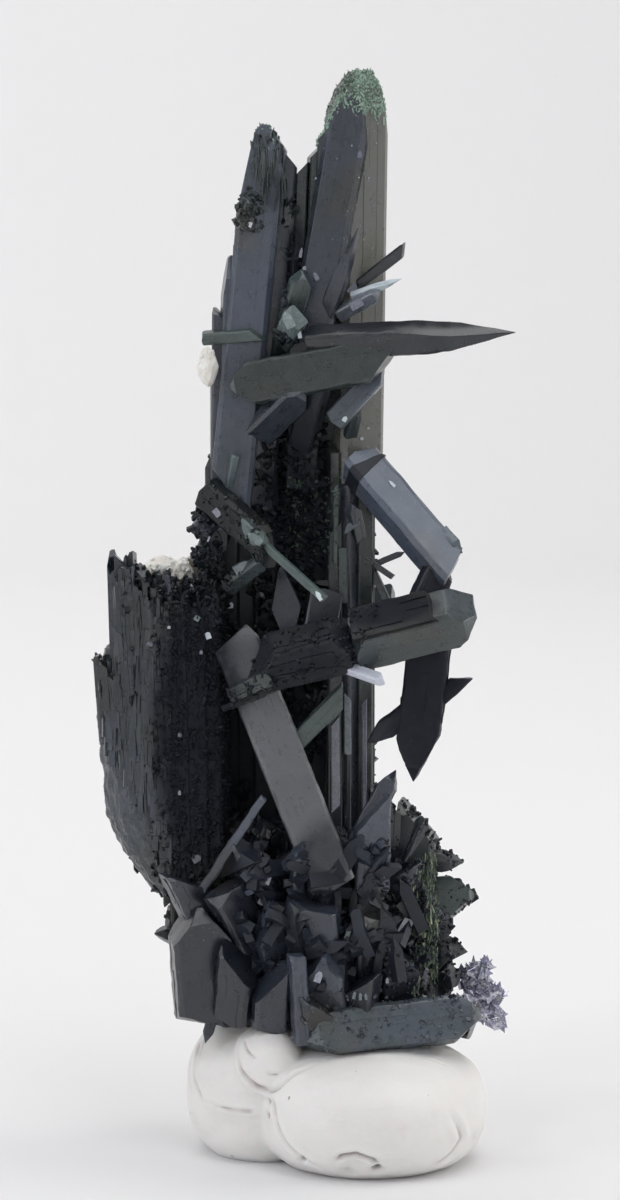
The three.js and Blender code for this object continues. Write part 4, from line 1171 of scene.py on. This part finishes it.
# What grows in a zone unless it says more. "sink" is the share of the length inside the rock, "bright" how many
# are paler by "glint" as painted glints, and "thins" how much sparser the zone gets towards its top.
zoneHabit = {
    "finish": "dark", "kinds": small, "slim": (1.2, 3), "lean": (0.8, 0.3, 0.7), "pale": 0.1, "violet": 0.5,
    "sink": 0.42, "vary": 0.2, "bright": 0.04, "glint": 0.6, "twist": 180, "thins": 0, "patience": 6, "far": 40,
    "slot": "aegirine", "node": "aegirine_cluster",
}
zones = {
    "dust_flecks": {
        "on": ("upright_prisms",), "side": (0.1, -1, 0), "seed": 104, "finish": "bright",
        "box": ((-0.7, 2.9), (-3, 2), (40, 62.5)), "count": 110, "width": (0.03, 0.08), "slim": (1, 2.4),
        "kinds": ("blunt", "slant"), "pale": 0.3, "sink": 0.3, "vary": 0.6,
    },
    "block_grains": {
        "on": ("fibrous_block", "block_mass", "hollow_crystals"), "side": (0.15, -1, 0.2), "seed": 81,
        "box": ((-10.9, -5.6), (-9, 4), (15.5, 36.5)), "count": 1600, "width": (0.06, 0.22), "slim": (1.2, 3.5),
        "pale": 0.0, "bright": 0.02,
    },
    "block_top_grains": {
        "on": ("fibrous_block", "block_mass"), "side": (0, -0.3, 1), "seed": 82,
        "box": ((-12.6, -5.8), (-5, 5), (27, 37)), "count": 300, "width": (0.1, 0.3), "slim": (1.6, 3.6),
        "violet": 0.4, "lean": (0.4, 0.8, 0.5), "bright": 0.08, "sink": 0.55,
    },
    "block_laths": {
        "on": ("fibrous_block", "block_mass"), "side": (-0.5, -1, 0), "seed": 83, "finish": "faces",
        "box": ((-13.9, -9.8), (-9, 4), (17.5, 35.5)), "count": 800, "width": (0.1, 0.36), "slim": (2.5, 8),
        "kinds": ("lath",), "pale": 0.14, "violet": 0.6, "lean": (0.03, 1, 0.08), "sink": 0.55, "twist": 50,
        "under": block["tops"], "over": block["feet"], "vary": 0.24, "bright": 0,
    },
    "root_grains": {
        "on": ("cross_blade_root",), "side": (0, -1, 0.3), "seed": 96, "box": ((-6.6, 2.6), (-9, 0), (26, 34)),
        "count": 260, "width": (0.06, 0.24), "slim": (1, 3), "pale": 0.0, "violet": 0.6, "sink": 0.66,
        "bright": 0.02,
    },
    "rough_blade_grains": {
        "on": ("rough_blade",), "side": (0, -1, 0.3), "seed": 97, "box": ((-8, -3), (-6, 0), (35, 41)),
        "count": 90, "width": (0.08, 0.26), "slim": (1, 2.4), "pale": 0.15, "violet": 0.2, "sink": 0.6,
        "bright": 0.1,
    },
    "recess_grains": {
        "on": ("hollow_crystals", "back_columns", "upright_prisms"), "side": (0.1, -1, 0.15), "seed": 84,
        "box": ((-4.8, -0.4), (-3, 5), (23, 46)), "count": 1000, "width": (0.08, 0.36), "slim": (1.4, 5),
        "pale": -0.1, "violet": 0.1, "bright": 0.03,
    },
    "recess_moss": {
        "on": ("hollow_crystals", "back_columns", "upright_prisms"), "side": (0.1, -1, 0.15), "seed": 103,
        "finish": "fibres", "box": ((-3.0, 0.2), (-3, 5), (35.2, 40.8)), "count": 260, "width": (0.05, 0.16),
        "slim": (1.2, 4), "pale": 0.0, "violet": 0.9, "vary": 0.3, "bright": 0,
    },
    "cleft_grains": {
        "on": ("back_columns", "small_crystals"), "side": (0, -1, 0.1), "seed": 85,
        "box": ((-3.4, -0.9), (-2, 4), (46.5, 58)), "count": 160, "width": (0.1, 0.34), "slim": (1.4, 4),
        "pale": 0.2, "violet": 0.4, "bright": 0.1,
    },
    "knob_grains": {
        "on": ("small_crystals", "upright_prisms"), "side": (0, -1, 0.2), "seed": 86,
        "box": ((-5.9, -4.3), (-3, 0), (55.2, 57.9)), "count": 80, "width": (0.1, 0.32), "slim": (1.0, 1.6),
        "pale": 0.3, "violet": 0.3, "bright": 0.12, "sink": 0.55,
    },
    "tip_fibres": {
        "on": ("upright_prisms",), "side": (0, -1, 0.3), "seed": 93, "finish": "faces",
        "box": ((-5.0, -2.9), (-3, 3), (57.5, 61.2)), "count": 120, "width": (0.06, 0.16), "slim": (6, 12),
        "kinds": ("lath",), "pale": 0.25, "violet": 0.1, "lean": (0.02, 1, 0.1), "sink": 0.75, "vary": 0.4,
    },
    "base_fill": {
        "on": ("base_mass", "crust_crystals", "base_crystals"), "side": (0, -1, 0.25), "seed": 101,
        "box": ((-5.6, 4.6), (-6.6, 4), (11.0, 19.5)), "count": 170, "width": (0.3, 1.0), "slim": (2.0, 4.2),
        "kinds": ("chisel", "slant", "point", "point"), "pale": 0.2, "violet": 0.9, "sink": 0.7, "vary": 0.24,
        "lean": (0.6, 0.7, 0.6), "bright": 0.03,
    },
    "lying_grains": {
        "on": ("base_crystals",), "side": (0, -1, 0.5), "seed": 102, "finish": "faces",
        "box": ((-2.0, 9.0), (-8, -2), (6.4, 10.6)), "count": 190, "width": (0.06, 0.3), "slim": (1.0, 2.2),
        "pale": 0.4, "violet": 0.7, "sink": 0.78, "vary": 0.4, "bright": 0.02,
    },
    "base_grains": {
        "on": ("base_mass", "crust_crystals", "block_mass"), "side": (0, -1, 0.25), "seed": 87,
        "box": ((-9.6, 5.2), (-7, 4), (9.4, 22)), "count": 900, "width": (0.08, 0.4), "slim": (1.2, 3.5),
        "pale": 0.0, "violet": 0.8,
    },
    "crust_grains": {
        "on": ("right_crust", "crust_crystals", "base_mass"), "side": (0.5, -1, 0.2), "seed": 88,
        "box": ((2.5, 9), (-5, 4), (8.4, 21.5)), "count": 260, "width": (0.05, 0.13), "violet": 0.7,
        "bright": 0.08, "sink": 0.6,
    },
    "left_grains": {
        "on": ("base_mass", "crust_crystals", "block_mass"), "side": (-1, -0.1, 0.1), "seed": 89,
        "box": ((-11, -2), (-4.5, 5), (9, 20)), "count": 420, "width": (0.1, 0.34), "sink": 0.6,
    },
    "back_grains": {
        "on": ("base_mass", "crust_crystals", "block_mass", "fibrous_block", "back_columns"),
        "side": (0, 1, 0.2), "seed": 90, "box": ((-13, 6), (0, 9), (9, 44)), "count": 2200,
        "width": (0.1, 0.45), "slim": (1.2, 3.2), "thins": 1,
    },
    "right_grains": {
        "on": ("base_mass", "crust_crystals", "right_crust"), "side": (1, 0.2, 0.2), "seed": 91,
        "box": ((0, 9), (-3, 6), (9, 24)), "count": 450, "width": (0.08, 0.3), "sink": 0.6,
    },
    "right_front_grains": {
        "on": ("base_crystals", "crust_crystals", "base_mass"), "side": (0, -1, 0.2), "seed": 105,
        "box": ((2.6, 7.2), (-7, 3), (10, 20)), "count": 520, "width": (0.06, 0.24), "pale": 0.05,
        "violet": 0.8, "sink": 0.5, "vary": 0.3, "bright": 0.06,
    },
    "flank_grains": {
        "on": ("small_crystals", "hollow_crystals"), "side": (-0.2, -1, 0.2), "seed": 106,
        "box": ((-8.6, -5.4), (-4, 3), (30.5, 39.5)), "count": 320, "width": (0.07, 0.3), "pale": 0.05,
        "sink": 0.5, "vary": 0.3, "bright": 0.05,
    },
    "moss_streak": {
        "on": ("right_crust", "crust_crystals", "base_crystals"), "side": (0.3, -1, 0.1), "seed": 92,
        "finish": "fibres", "box": ((4.6, 6.2), (-5, 3), (9.4, 18.0)), "count": 600, "width": (0.04, 0.1),
        "slim": (4, 12), "kinds": ("needle", "slant"), "pale": 0.25, "violet": 0.9, "lean": (0.1, 0.9, 0.3),
        "sink": 0.6, "vary": 0.6,
    },
    "feldspar_crumbs": {
        "on": ("feldspar_grain_upper", "feldspar_grain_lower"), "side": (0, -1, 0.4), "seed": 98,
        "finish": "feldspar", "box": ((-12, -6), (-4, 4), (33, 50)), "count": 170, "width": (0.1, 0.34),
        "slim": (0.8, 1.3), "kinds": ("grain",), "pale": 0, "violet": 0, "sink": 0.72, "slot": "feldspar",
        "node": None,
    },
    "flake_plates": {
        "on": ("silvery_flakes",), "side": (0.4, -1, 0.3), "seed": 99, "finish": "flakes",
        "box": ((7, 11), (-3, 4), (5, 12)), "count": 230, "width": (0.25, 0.8), "slim": (0.7, 1.3),
        "kinds": ("plate",), "pale": 0.3, "violet": 0, "lean": (0.5, 0.9, 0.7), "sink": 0.45, "twist": 90,
        "vary": 0.6, "slot": "flakes", "node": None,
    },
}
for name, given in zones.items():
    zone = {**zoneHabit, **given}
    tree = treeOf([rock.get(each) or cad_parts[each] for each in zone["on"]])
    finished(grownOn(tree, zone), name, zone["slot"], zone["node"], zone["finish"])

# Small faces that catch the light, coloured near-white as painted highlights: (x, z, width, length, lean to the
# right in degrees, kind, pale, violet), with x and z where the view's ray to them meets the plane y = 0.
glints = [
    (-5.07, 55.71, 0.22, 0.32, 20, "blunt", 0.8, 0.8),
    (-6.25, 32.88, 0.27, 0.59, 10, "chisel", 1.0, 0.6),
    (-7.62, 31.16, 0.32, 0.43, -20, "chisel", 1.0, 0.6),
    (-0.99, 33.57, 0.27, 0.65, -35, "point", 1.1, 0.5),
    (-11.88, 21.19, 0.32, 0.45, 15, "point", 0.4, 0.2),
    (-9.32, 25.19, 0.22, 0.47, 10, "point", 0.15, 0.7),
    (-9.37, 21.63, 0.18, 0.32, 0, "point", 0.2, 0.6),
    (-9.96, 31.67, 0.18, 0.22, 0, "point", 0.4, 0.6),
    (-8.12, 36.26, 0.15, 0.22, 0, "point", 0.5, 0.6),
    (-8.59, 34.02, 0.22, 0.54, -10, "point", 0.2, 0.3),
    (-9.42, 34.08, 0.32, 0.22, 0, "point", 0.15, 0.3),
    (-8.31, 32.21, 0.32, 0.32, 30, "blunt", 0.15, 0.2),
    (-8.04, 30.16, 0.18, 0.27, 0, "point", 0.2, 1.0),
    (-11.16, 30.65, 0.38, 0.23, 20, "blunt", 0.0, 0.8),
    (-7.08, 38.55, 0.38, 0.54, -40, "blunt", 0.2, 0.8),
    (-7.6, 37.04, 0.22, 0.45, 20, "point", 0.8, 0.8),
    (-4.83, 37.04, 0.45, 1.08, -55, "point", 0.1, 0.1),
    (1.6, 43.01, 0.18, 0.22, 0, "point", 0.8, 0.6),
    (1.98, 43.63, 0.14, 0.16, 0, "point", 0.8, 0.6),
    (3.4, 40.3, 0.17, 0.54, -45, "point", 0.9, 0.5),
    (0.6, 44.18, 0.26, 0.38, 30, "point", 0.8, 0.5),
    (-5.48, 35.35, 0.52, 1.26, 60, "point", 0.15, 0.5),
    (-2.82, 50.07, 0.56, 1.08, -25, "point", 0.2, 0.2),
    (-2.13, 49.29, 0.22, 0.63, -10, "blunt", 0.8, 0.5),
    (1.26, 50.98, 0.52, 0.81, 60, "blunt", 0.1, 0.9),
    (1.02, 51.94, 0.34, 0.72, 40, "chisel", 0.1, 0.9),
    (-1.14, 52.67, 0.26, 0.54, -30, "point", 0.1, 0.8),
    (-2.04, 54.07, 0.18, 0.63, 10, "point", 0.2, 0.9),
    (-1.83, 53.15, 0.21, 0.27, 0, "point", 0.2, 0.8),
    (1.44, 59.88, 0.26, 0.45, 0, "point", 0.0, 0.9),
    (-1.14, 58.46, 0.14, 0.16, 0, "point", 0.3, 0.6),
    (4.26, 13.5, 0.62, 1.0, 30, "blunt", 0.35, 1.0),
    (4.62, 12.6, 0.5, 0.95, 0, "chisel", 0.3, 1.0),
    (-3.96, 16.59, 0.34, 1.17, 20, "point", 0.35, 0.9),
    (-4.38, 15.08, 0.34, 0.63, 30, "point", 0.25, 0.9),
    (-0.96, 10.38, 0.41, 0.77, 20, "point", 0.3, 0.7),
    (2.04, 14.6, 0.17, 1.44, 75, "point", 0.0, 0.7),
    (1.2, 9.23, 0.18, 0.54, 10, "point", 0.15, 0.4),
    (1.56, 9.17, 0.18, 0.54, 0, "point", 0.15, 0.4),
    (1.9, 9.15, 0.17, 0.45, -8, "point", 0.1, 0.4),
    (2.7, 17.61, 0.14, 0.32, 0, "point", 0.7, 0.6),
    (2.94, 16.53, 0.14, 0.22, 0, "point", 0.5, 0.6),
    (4.11, 15.08, 0.22, 0.18, 0, "point", 0.4, 0.6),
    (3.18, 10.13, 0.18, 0.38, 0, "point", 0.35, 0.6),
    (5.52, 10.44, 0.38, 1.17, 15, "point", 0.1, 1.0),
    (0.84, 13.09, 0.27, 0.90, 20, "point", 0.0, 0.0),
    (-8.31, 17.61, 0.41, 0.63, 60, "point", 0.0, 0.9),
]


def glintFaces():
    tree = treeOf(rock.values())
    places = []
    for x, z, width, length, lean, kind, pale, violet in glints:
        point, normal, face, distance = tree.ray_cast(eye, (Vector((x, 0, z)) - eye).normalized())
        if point is None:
            continue
        a = math.radians(lean)
        half = Vector((math.sin(a), 0.12, math.cos(a))).normalized() * length / 2
        point += (eye - point).normalized() * 0.04  # just proud of the rock
        turn = (x * 37 + z * 11) % 24 - 12  # each a little different
        places.append((kind, point - half, point + half, width, turn, pale, violet))
    return scattered(places)


finished(glintFaces(), "glint_faces", "aegirine", "aegirine_cluster", "bright")

# The mint-green growth on the right upright's tip: a crust of grains with fibres standing out of it.
greenTip = {
    "seed": 95,
    "grains": {"count": 3600, "kind": "grain", "width": (0.04, 0.13), "follow": 0.5, "rise": 0, "stray": 1.8},
    "fibres": {"count": 1600, "kind": "needle", "width": (0.03, 0.09), "follow": 0.3, "rise": 0.8, "stray": 1.1},
    "fibreLength": (0.2, 0.6),
    "from": [(-1.4, 60.2), (-0.6, 61.2), (0.1, 62.5), (1.6, 62.4), (2.6, 62.1)],
    "ragged": 0.7,
    "middle": (0.9, 0.6, 59.5),
    "spread": (3.6, 6),
    "sink": 0.55,
    "pale": 0.95,
    "vary": 0.9,
}


def tipGrowth():
    draw = randomFrom(greenTip["seed"])
    tree = treeOf([rock["upright_prisms"]])
    x, y, z = greenTip["middle"]
    places = []
    grains, fibres = greenTip["grains"], greenTip["fibres"]
    for kind in [grains] * grains["count"] + [fibres] * fibres["count"]:
        a = draw() * 2 * math.pi
        side = Vector((math.cos(a), math.sin(a), draw() * 0.8))
        aim = Vector((x + swing(draw, greenTip["spread"][0]), y, z + draw() * greenTip["spread"][1]))
        point, normal, face, distance = tree.ray_cast(aim + side * 20, -side)
        if point is None:
            continue
        low = valueAt(greenTip["from"], point.x)
        if point.z < low + swing(draw, greenTip["ragged"]):
            continue
        spread = Vector((draw() - 0.5, draw() - 0.5, draw() - 0.5))
        width = between(kind["width"], draw())
        along = (normal * kind["follow"] + Vector((0, 0, kind["rise"])) + spread * kind["stray"]).normalized()
        reach = along * (width * (1 + draw()) if kind is grains else between(greenTip["fibreLength"], draw()))
        height = min(1, (point.z - low) / 1.2)
        darker = 0.6 * height * (1 if point.x < 1.2 else 0.4)  # most at the top left
        pale = greenTip["pale"] - darker + swing(draw, greenTip["vary"])
        foot = point - reach * greenTip["sink"]
        places.append((kind["kind"], foot, foot + reach, width, draw() * 90, pale, 0.1 * draw()))
    return scattered(places)


finished(tipGrowth(), "green_tip", "aegirine", "aegirine_cluster", "fibres")

# The putty: squashed balls run together, with the folds, dents and holes that pressing left in it. A fold is
# (width, depth, lip, painted shade along it) and the points that it runs through.
putty = {
    "voxel": 0.12,
    "soften": 6,
    "waves": {"size": 1.7, "depth": 2, "strength": 0.16},
    "lobes": [
        {"centre": (-4.3, -0.2, 3.6), "radius": (4.7, 6.0, 4.7), "fullness": 2.3},
        {"centre": (2.1, -3.3, 3.2), "radius": (6.95, 7.2, 3.9), "fullness": 2.7},
        {"centre": (-4.0, -4.3, 5.9), "radius": (2.1, 2.4, 2.5), "fullness": 2.2},
        {"centre": (1.2, 1.8, 3.2), "radius": (5.8, 4.8, 4.4), "fullness": 2.3},
    ],
    "folds": [
        (0.14, 0.24, 0.14, 0.75, [
            (-6.2, -5, 7.6), (-5.6, -6, 5.9), (-4.7, -6.5, 5.1), (-3.9, -6.8, 4.8), (-3.0, -7, 5.0),
            (-2.1, -7, 5.7), (-1.5, -7, 6.8)]),
        (0.09, 0.14, 0.05, 0.75, [(-5.6, -5.2, 7.9), (-5.2, -6, 7.1), (-4.7, -6.6, 6.7)]),
        (0.10, 0.10, 0.05, 0.75, [(-4.2, -6.8, 5.9), (-3.4, -7, 5.8), (-2.8, -7, 6.1)]),
        (0.14, 0.29, 0.09, 0.75, [
            (-4.4, -7, 4.8), (-4.0, -7.5, 4.2), (-3.6, -8, 2.8), (-3.0, -8.5, 1.8), (-2.0, -9, 1.0),
            (-1.0, -9, 0.5)]),
        (0.09, 0.14, 0.07, 0.75, [(-7.8, -4, 3.7), (-6.5, -5.5, 3.5), (-5.3, -6.5, 3.45), (-4.4, -7, 3.5)]),
        (0.11, 0.19, 0.11, 0.75, [(-8.6, -1.4, 7.2), (-8.5, -2, 6.4), (-8.3, -3, 4.7), (-7.8, -4, 3.6)]),
        (0.07, 0.10, 0.05, 0.75, [(-8.9, -1, 6.0), (-8.8, -1.6, 4.9), (-8.5, -2.4, 3.9)]),
        (0.21, 0.12, 0.11, 0.75, [(6.1, -8, 3.9), (7.0, -7.5, 2.4), (6.6, -8, 1.6), (5.5, -8.5, 0.7)]),
        (0.15, 0.36, 0.1, 1.2, [
            (-0.1, -10, 1.3), (0.3, -10, 1.7), (1.2, -10, 1.95), (2.1, -10, 1.7), (2.6, -10, 1.2)]),
        (0.08, 0.07, 0.03, 0.75, [(5.0, -6, 6.4), (6.2, -6, 5.6), (7.0, -6, 4.6)]),
    ],
    # A dent's "dark" paints shade inside it: grey up to 1.1, a dark hole past it.
    "dents": [
        {"at": (1.1, -10.2, 1.1), "radius": 0.7, "depth": 0.3, "dark": 0},
        {"at": (2.4, -9.7, 0.85), "radius": 0.3, "depth": 0.8, "dark": 2.4},
        {"at": (0.6, -9.6, 0.2), "radius": 0.36, "depth": 0.3, "dark": 0.25},
        {"at": (-2.2, -8.8, 0.85), "radius": 0.2, "depth": 0.5, "dark": 1.3},
        {"at": (-4.5, -7, 3.4), "radius": 0.17, "depth": 0.4, "dark": 1.3},
        {"at": (-4.4, -7, 4.35), "radius": 0.2, "depth": 0.35, "dark": 0.9},
        {"at": (7.4, -6, 2.2), "radius": 0.4, "depth": 0.16, "dark": 0},
        {"at": (-6.9, -5, 2.0), "radius": 0.6, "depth": 0.14, "dark": 0},
        {"at": (4.2, -8, 5.6), "radius": 0.9, "depth": 0.12, "dark": 0},
    ],
    "greyerLeft": {"from": -3.2, "over": 1.5, "grey": 0.2},  # the left lobe is greyer
}


def puttyLobe(centre, radius, fullness):
    bpy.ops.object.select_all(action="DESELECT")
    bpy.ops.mesh.primitive_uv_sphere_add(segments=64, ring_count=32, radius=1)
    ball = bpy.context.object
    for corner in ball.data.vertices:
        x, y, z = corner.co
        across = math.hypot(x, y)
        full = max(0, 1 - abs(z) ** fullness) ** (1 / fullness) / across if across > 1e-6 else 0
        corner.co = [middle + off * reach for middle, off, reach in zip(centre, (x * full, y * full, z), radius)]
    return ball


def offLine(spots, line):
    # how far each spot is from a line through points, and how near its ends that is, 0 at an end
    nearest = np.full(len(spots), 1e9)
    taper = np.zeros(len(spots))
    for i, (start, stop) in enumerate(zip(line, line[1:])):
        start, span = np.array(start), np.array(stop - start)
        share = np.clip((spots - start) @ span / (span @ span), 0, 1)
        off = np.linalg.norm(spots - start - share[:, None] * span, axis=1)
        place = (i + share) / (len(line) - 1)
        taper = np.where(off < nearest, np.minimum(place, 1 - place), taper)
        nearest = np.minimum(off, nearest)
    return nearest, np.clip(taper * 6, 0.15, 1)


def swell(off, width, power=2):  # 1 at the middle, falling softly to 0 past the width
    return np.exp(-(off / width) ** power)


def press(lump):  # moves the putty's skin in along folds and dents, with a lip beside each fold
    mesh = lump.data
    spots, normals = (np.zeros(len(mesh.vertices) * 3) for i in range(2))
    mesh.vertices.foreach_get("co", spots)
    mesh.vertices.foreach_get("normal", normals)
    spots, normals = spots.reshape(-1, 3), normals.reshape(-1, 3)
    corners = [corner.co for corner in mesh.vertices]
    tree = BVHTree.FromPolygons(corners, [face.vertices for face in mesh.polygons])
    move, fold = np.zeros(len(spots)), np.zeros(len(spots))
    for width, depth, lip, creaseShade, line in putty["folds"]:
        off, taper = offLine(spots, [tree.find_nearest(Vector(point))[0] for point in line])
        move -= depth * taper * swell(off, width)
        move += lip * taper * swell(off - 2.4 * width, 1.3 * width)
        # painted shade along the fold
        fold = np.maximum(fold, creaseShade * taper * swell(off, 0.8 * width))
    for dent in putty["dents"]:
        middle = np.array(tree.find_nearest(Vector(dent["at"]))[0])
        off = np.linalg.norm(spots - middle, axis=1)
        move -= dent["depth"] * swell(off, dent["radius"])
        fold = np.maximum(fold, dent["dark"] * swell(off, 0.9 * dent["radius"], 4))
    # greyer towards the left, through the same mask as the painted crease shade
    greyerLeft = putty["greyerLeft"]
    fold += greyerLeft["grey"] * np.clip((greyerLeft["from"] - spots[:, 0]) / greyerLeft["over"], 0, 1)
    mesh.vertices.foreach_set("co", (spots + normals * move[:, None]).ravel())
    mesh.attributes.new("fold", "FLOAT", "POINT").data.foreach_set("value", fold.astype(np.float32))
    mesh.update()


def puttyLump():
    lump = joined([puttyLobe(**lobe) for lobe in putty["lobes"]])
    with editing():
        bpy.ops.mesh.normals_make_consistent(inside=False)
    waves = putty["waves"]
    modified(lump, "REMESH", mode="VOXEL", voxel_size=putty["voxel"])
    modified(lump, "SMOOTH", iterations=putty["soften"])
    modified(lump, "DISPLACE", texture=clouds(waves["size"], waves["depth"]), strength=waves["strength"])
    press(lump)
    with editing():
        cutOff((0, 0, 0), (0, 0, -1))
    bpy.ops.object.shade_smooth()
    return lump


finished(puttyLump(), "putty_lump", "putty", "putty_base", "putty")

plain = {"feldspar_grain_upper": "feldspar", "feldspar_grain_lower": "feldspar", "silvery_flakes": "flakes"}
for name, finish in plain.items():  # these solids stay as they are
    coat(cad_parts[name], finish)

# The pale stage: a round floor that turns up into a wall all round, so that every side has the same backdrop.
stage = {"floor": 0.36, "cove": 0.16, "wall": 0.5, "sides": 96, "steps": 12, "colour": (0.86, 0.855, 0.86)}


def paleStage():
    bpy.ops.object.select_all(action="DESELECT")
    bpy.ops.mesh.primitive_circle_add(vertices=stage["sides"], radius=stage["floor"], fill_type="NGON")
    floor = bpy.context.object
    floor.name = "pale_stage"
    levels = []
    for i in range(1, stage["steps"] + 1):
        a = math.pi / 2 * i / stage["steps"]
        levels.append((stage["floor"] + stage["cove"] * math.sin(a), stage["cove"] * (1 - math.cos(a))))
    levels.append((stage["floor"] + stage["cove"], stage["wall"]))
    radius, height = stage["floor"], 0.0
    with editing():
        pick("EDGE", lambda edge: True)
        for nextRadius, nextHeight in levels:
            bpy.ops.mesh.extrude_edges_move(TRANSFORM_OT_translate={"value": (0, 0, nextHeight - height)})
            wider = nextRadius / radius
            bpy.ops.transform.resize(value=(wider, wider, 1), center_override=(0, 0, nextHeight))
            radius, height = nextRadius, nextHeight
        bpy.ops.mesh.select_all(action="SELECT")
        bpy.ops.mesh.normals_make_consistent(inside=True)
    bpy.ops.object.shade_smooth()
    paint = {"Roughness": 0.9, "Specular IOR Level": 0.1, "Base Color": (*stage["colour"], 1)}
    floor.data.materials.append(Finish("pale_stage", paint).material)


paleStage()

# Soft boxes: (where each stands, what it looks at, its size, its power, its colour), and the sky round them.
lights = {
    "top": ((0.02, 0.02, 0.42), (0, 0, 0.03), 0.34, 0.57, (1.0, 0.985, 0.965)),
    "sky": ((0.09, -0.20, 0.35), (0, 0, 0.04), 0.15, 0.17, (0.92, 0.96, 1.0)),
    "spark": ((-0.13, -0.17, 0.30), (0, 0, 0.04), 0.035, 0.06, (1.0, 1.0, 1.0)),
    "left": ((-0.32, -0.16, 0.20), (0, 0, 0.03), 0.24, 0.26, (0.92, 0.95, 1.0)),
    "right": ((0.33, 0.02, 0.18), (0, 0, 0.03), 0.22, 0.3, (1.0, 0.97, 0.92)),
    "backdrop": ((-0.12, 0.24, 0.42), (-0.22, 0.5, 0.07), 0.2, 0.56, (1.0, 0.99, 0.98)),
}
sky = {"colour": (0.92, 0.94, 0.97), "strength": 0.34}


def facing(direction):
    return direction.to_track_quat("-Z", "Y").to_euler()


for name, (place, target, size, power, colour) in lights.items():
    bpy.ops.object.light_add(type="AREA", location=place)
    lamp = bpy.context.object
    lamp.name = name
    lamp.data.shape = "SQUARE"
    lamp.data.size = size
    lamp.data.energy = power
    lamp.data.color = colour
    lamp.rotation_euler = facing(Vector(target) - lamp.location)

world = bpy.context.scene.world or bpy.data.worlds.new("studio")
bpy.context.scene.world = world
world.use_nodes = True
world.node_tree.nodes["Background"].inputs["Color"].default_value = (*sky["colour"], 1)
world.node_tree.nodes["Background"].inputs["Strength"].default_value = sky["strength"]

bpy.ops.object.camera_add(location=eye * mm)
camera = bpy.context.object
camera.rotation_euler = facing(Vector(view["aim"]) - eye)
camera.data.sensor_fit = "VERTICAL"
camera.data.sensor_height = view["sensor"]
camera.data.lens = view["lens"]
camera.data.clip_start = view["near"]
bpy.context.scene.camera = camera
bpy.context.scene.view_settings.view_transform = "Standard"
print("stage, lights and camera ready")
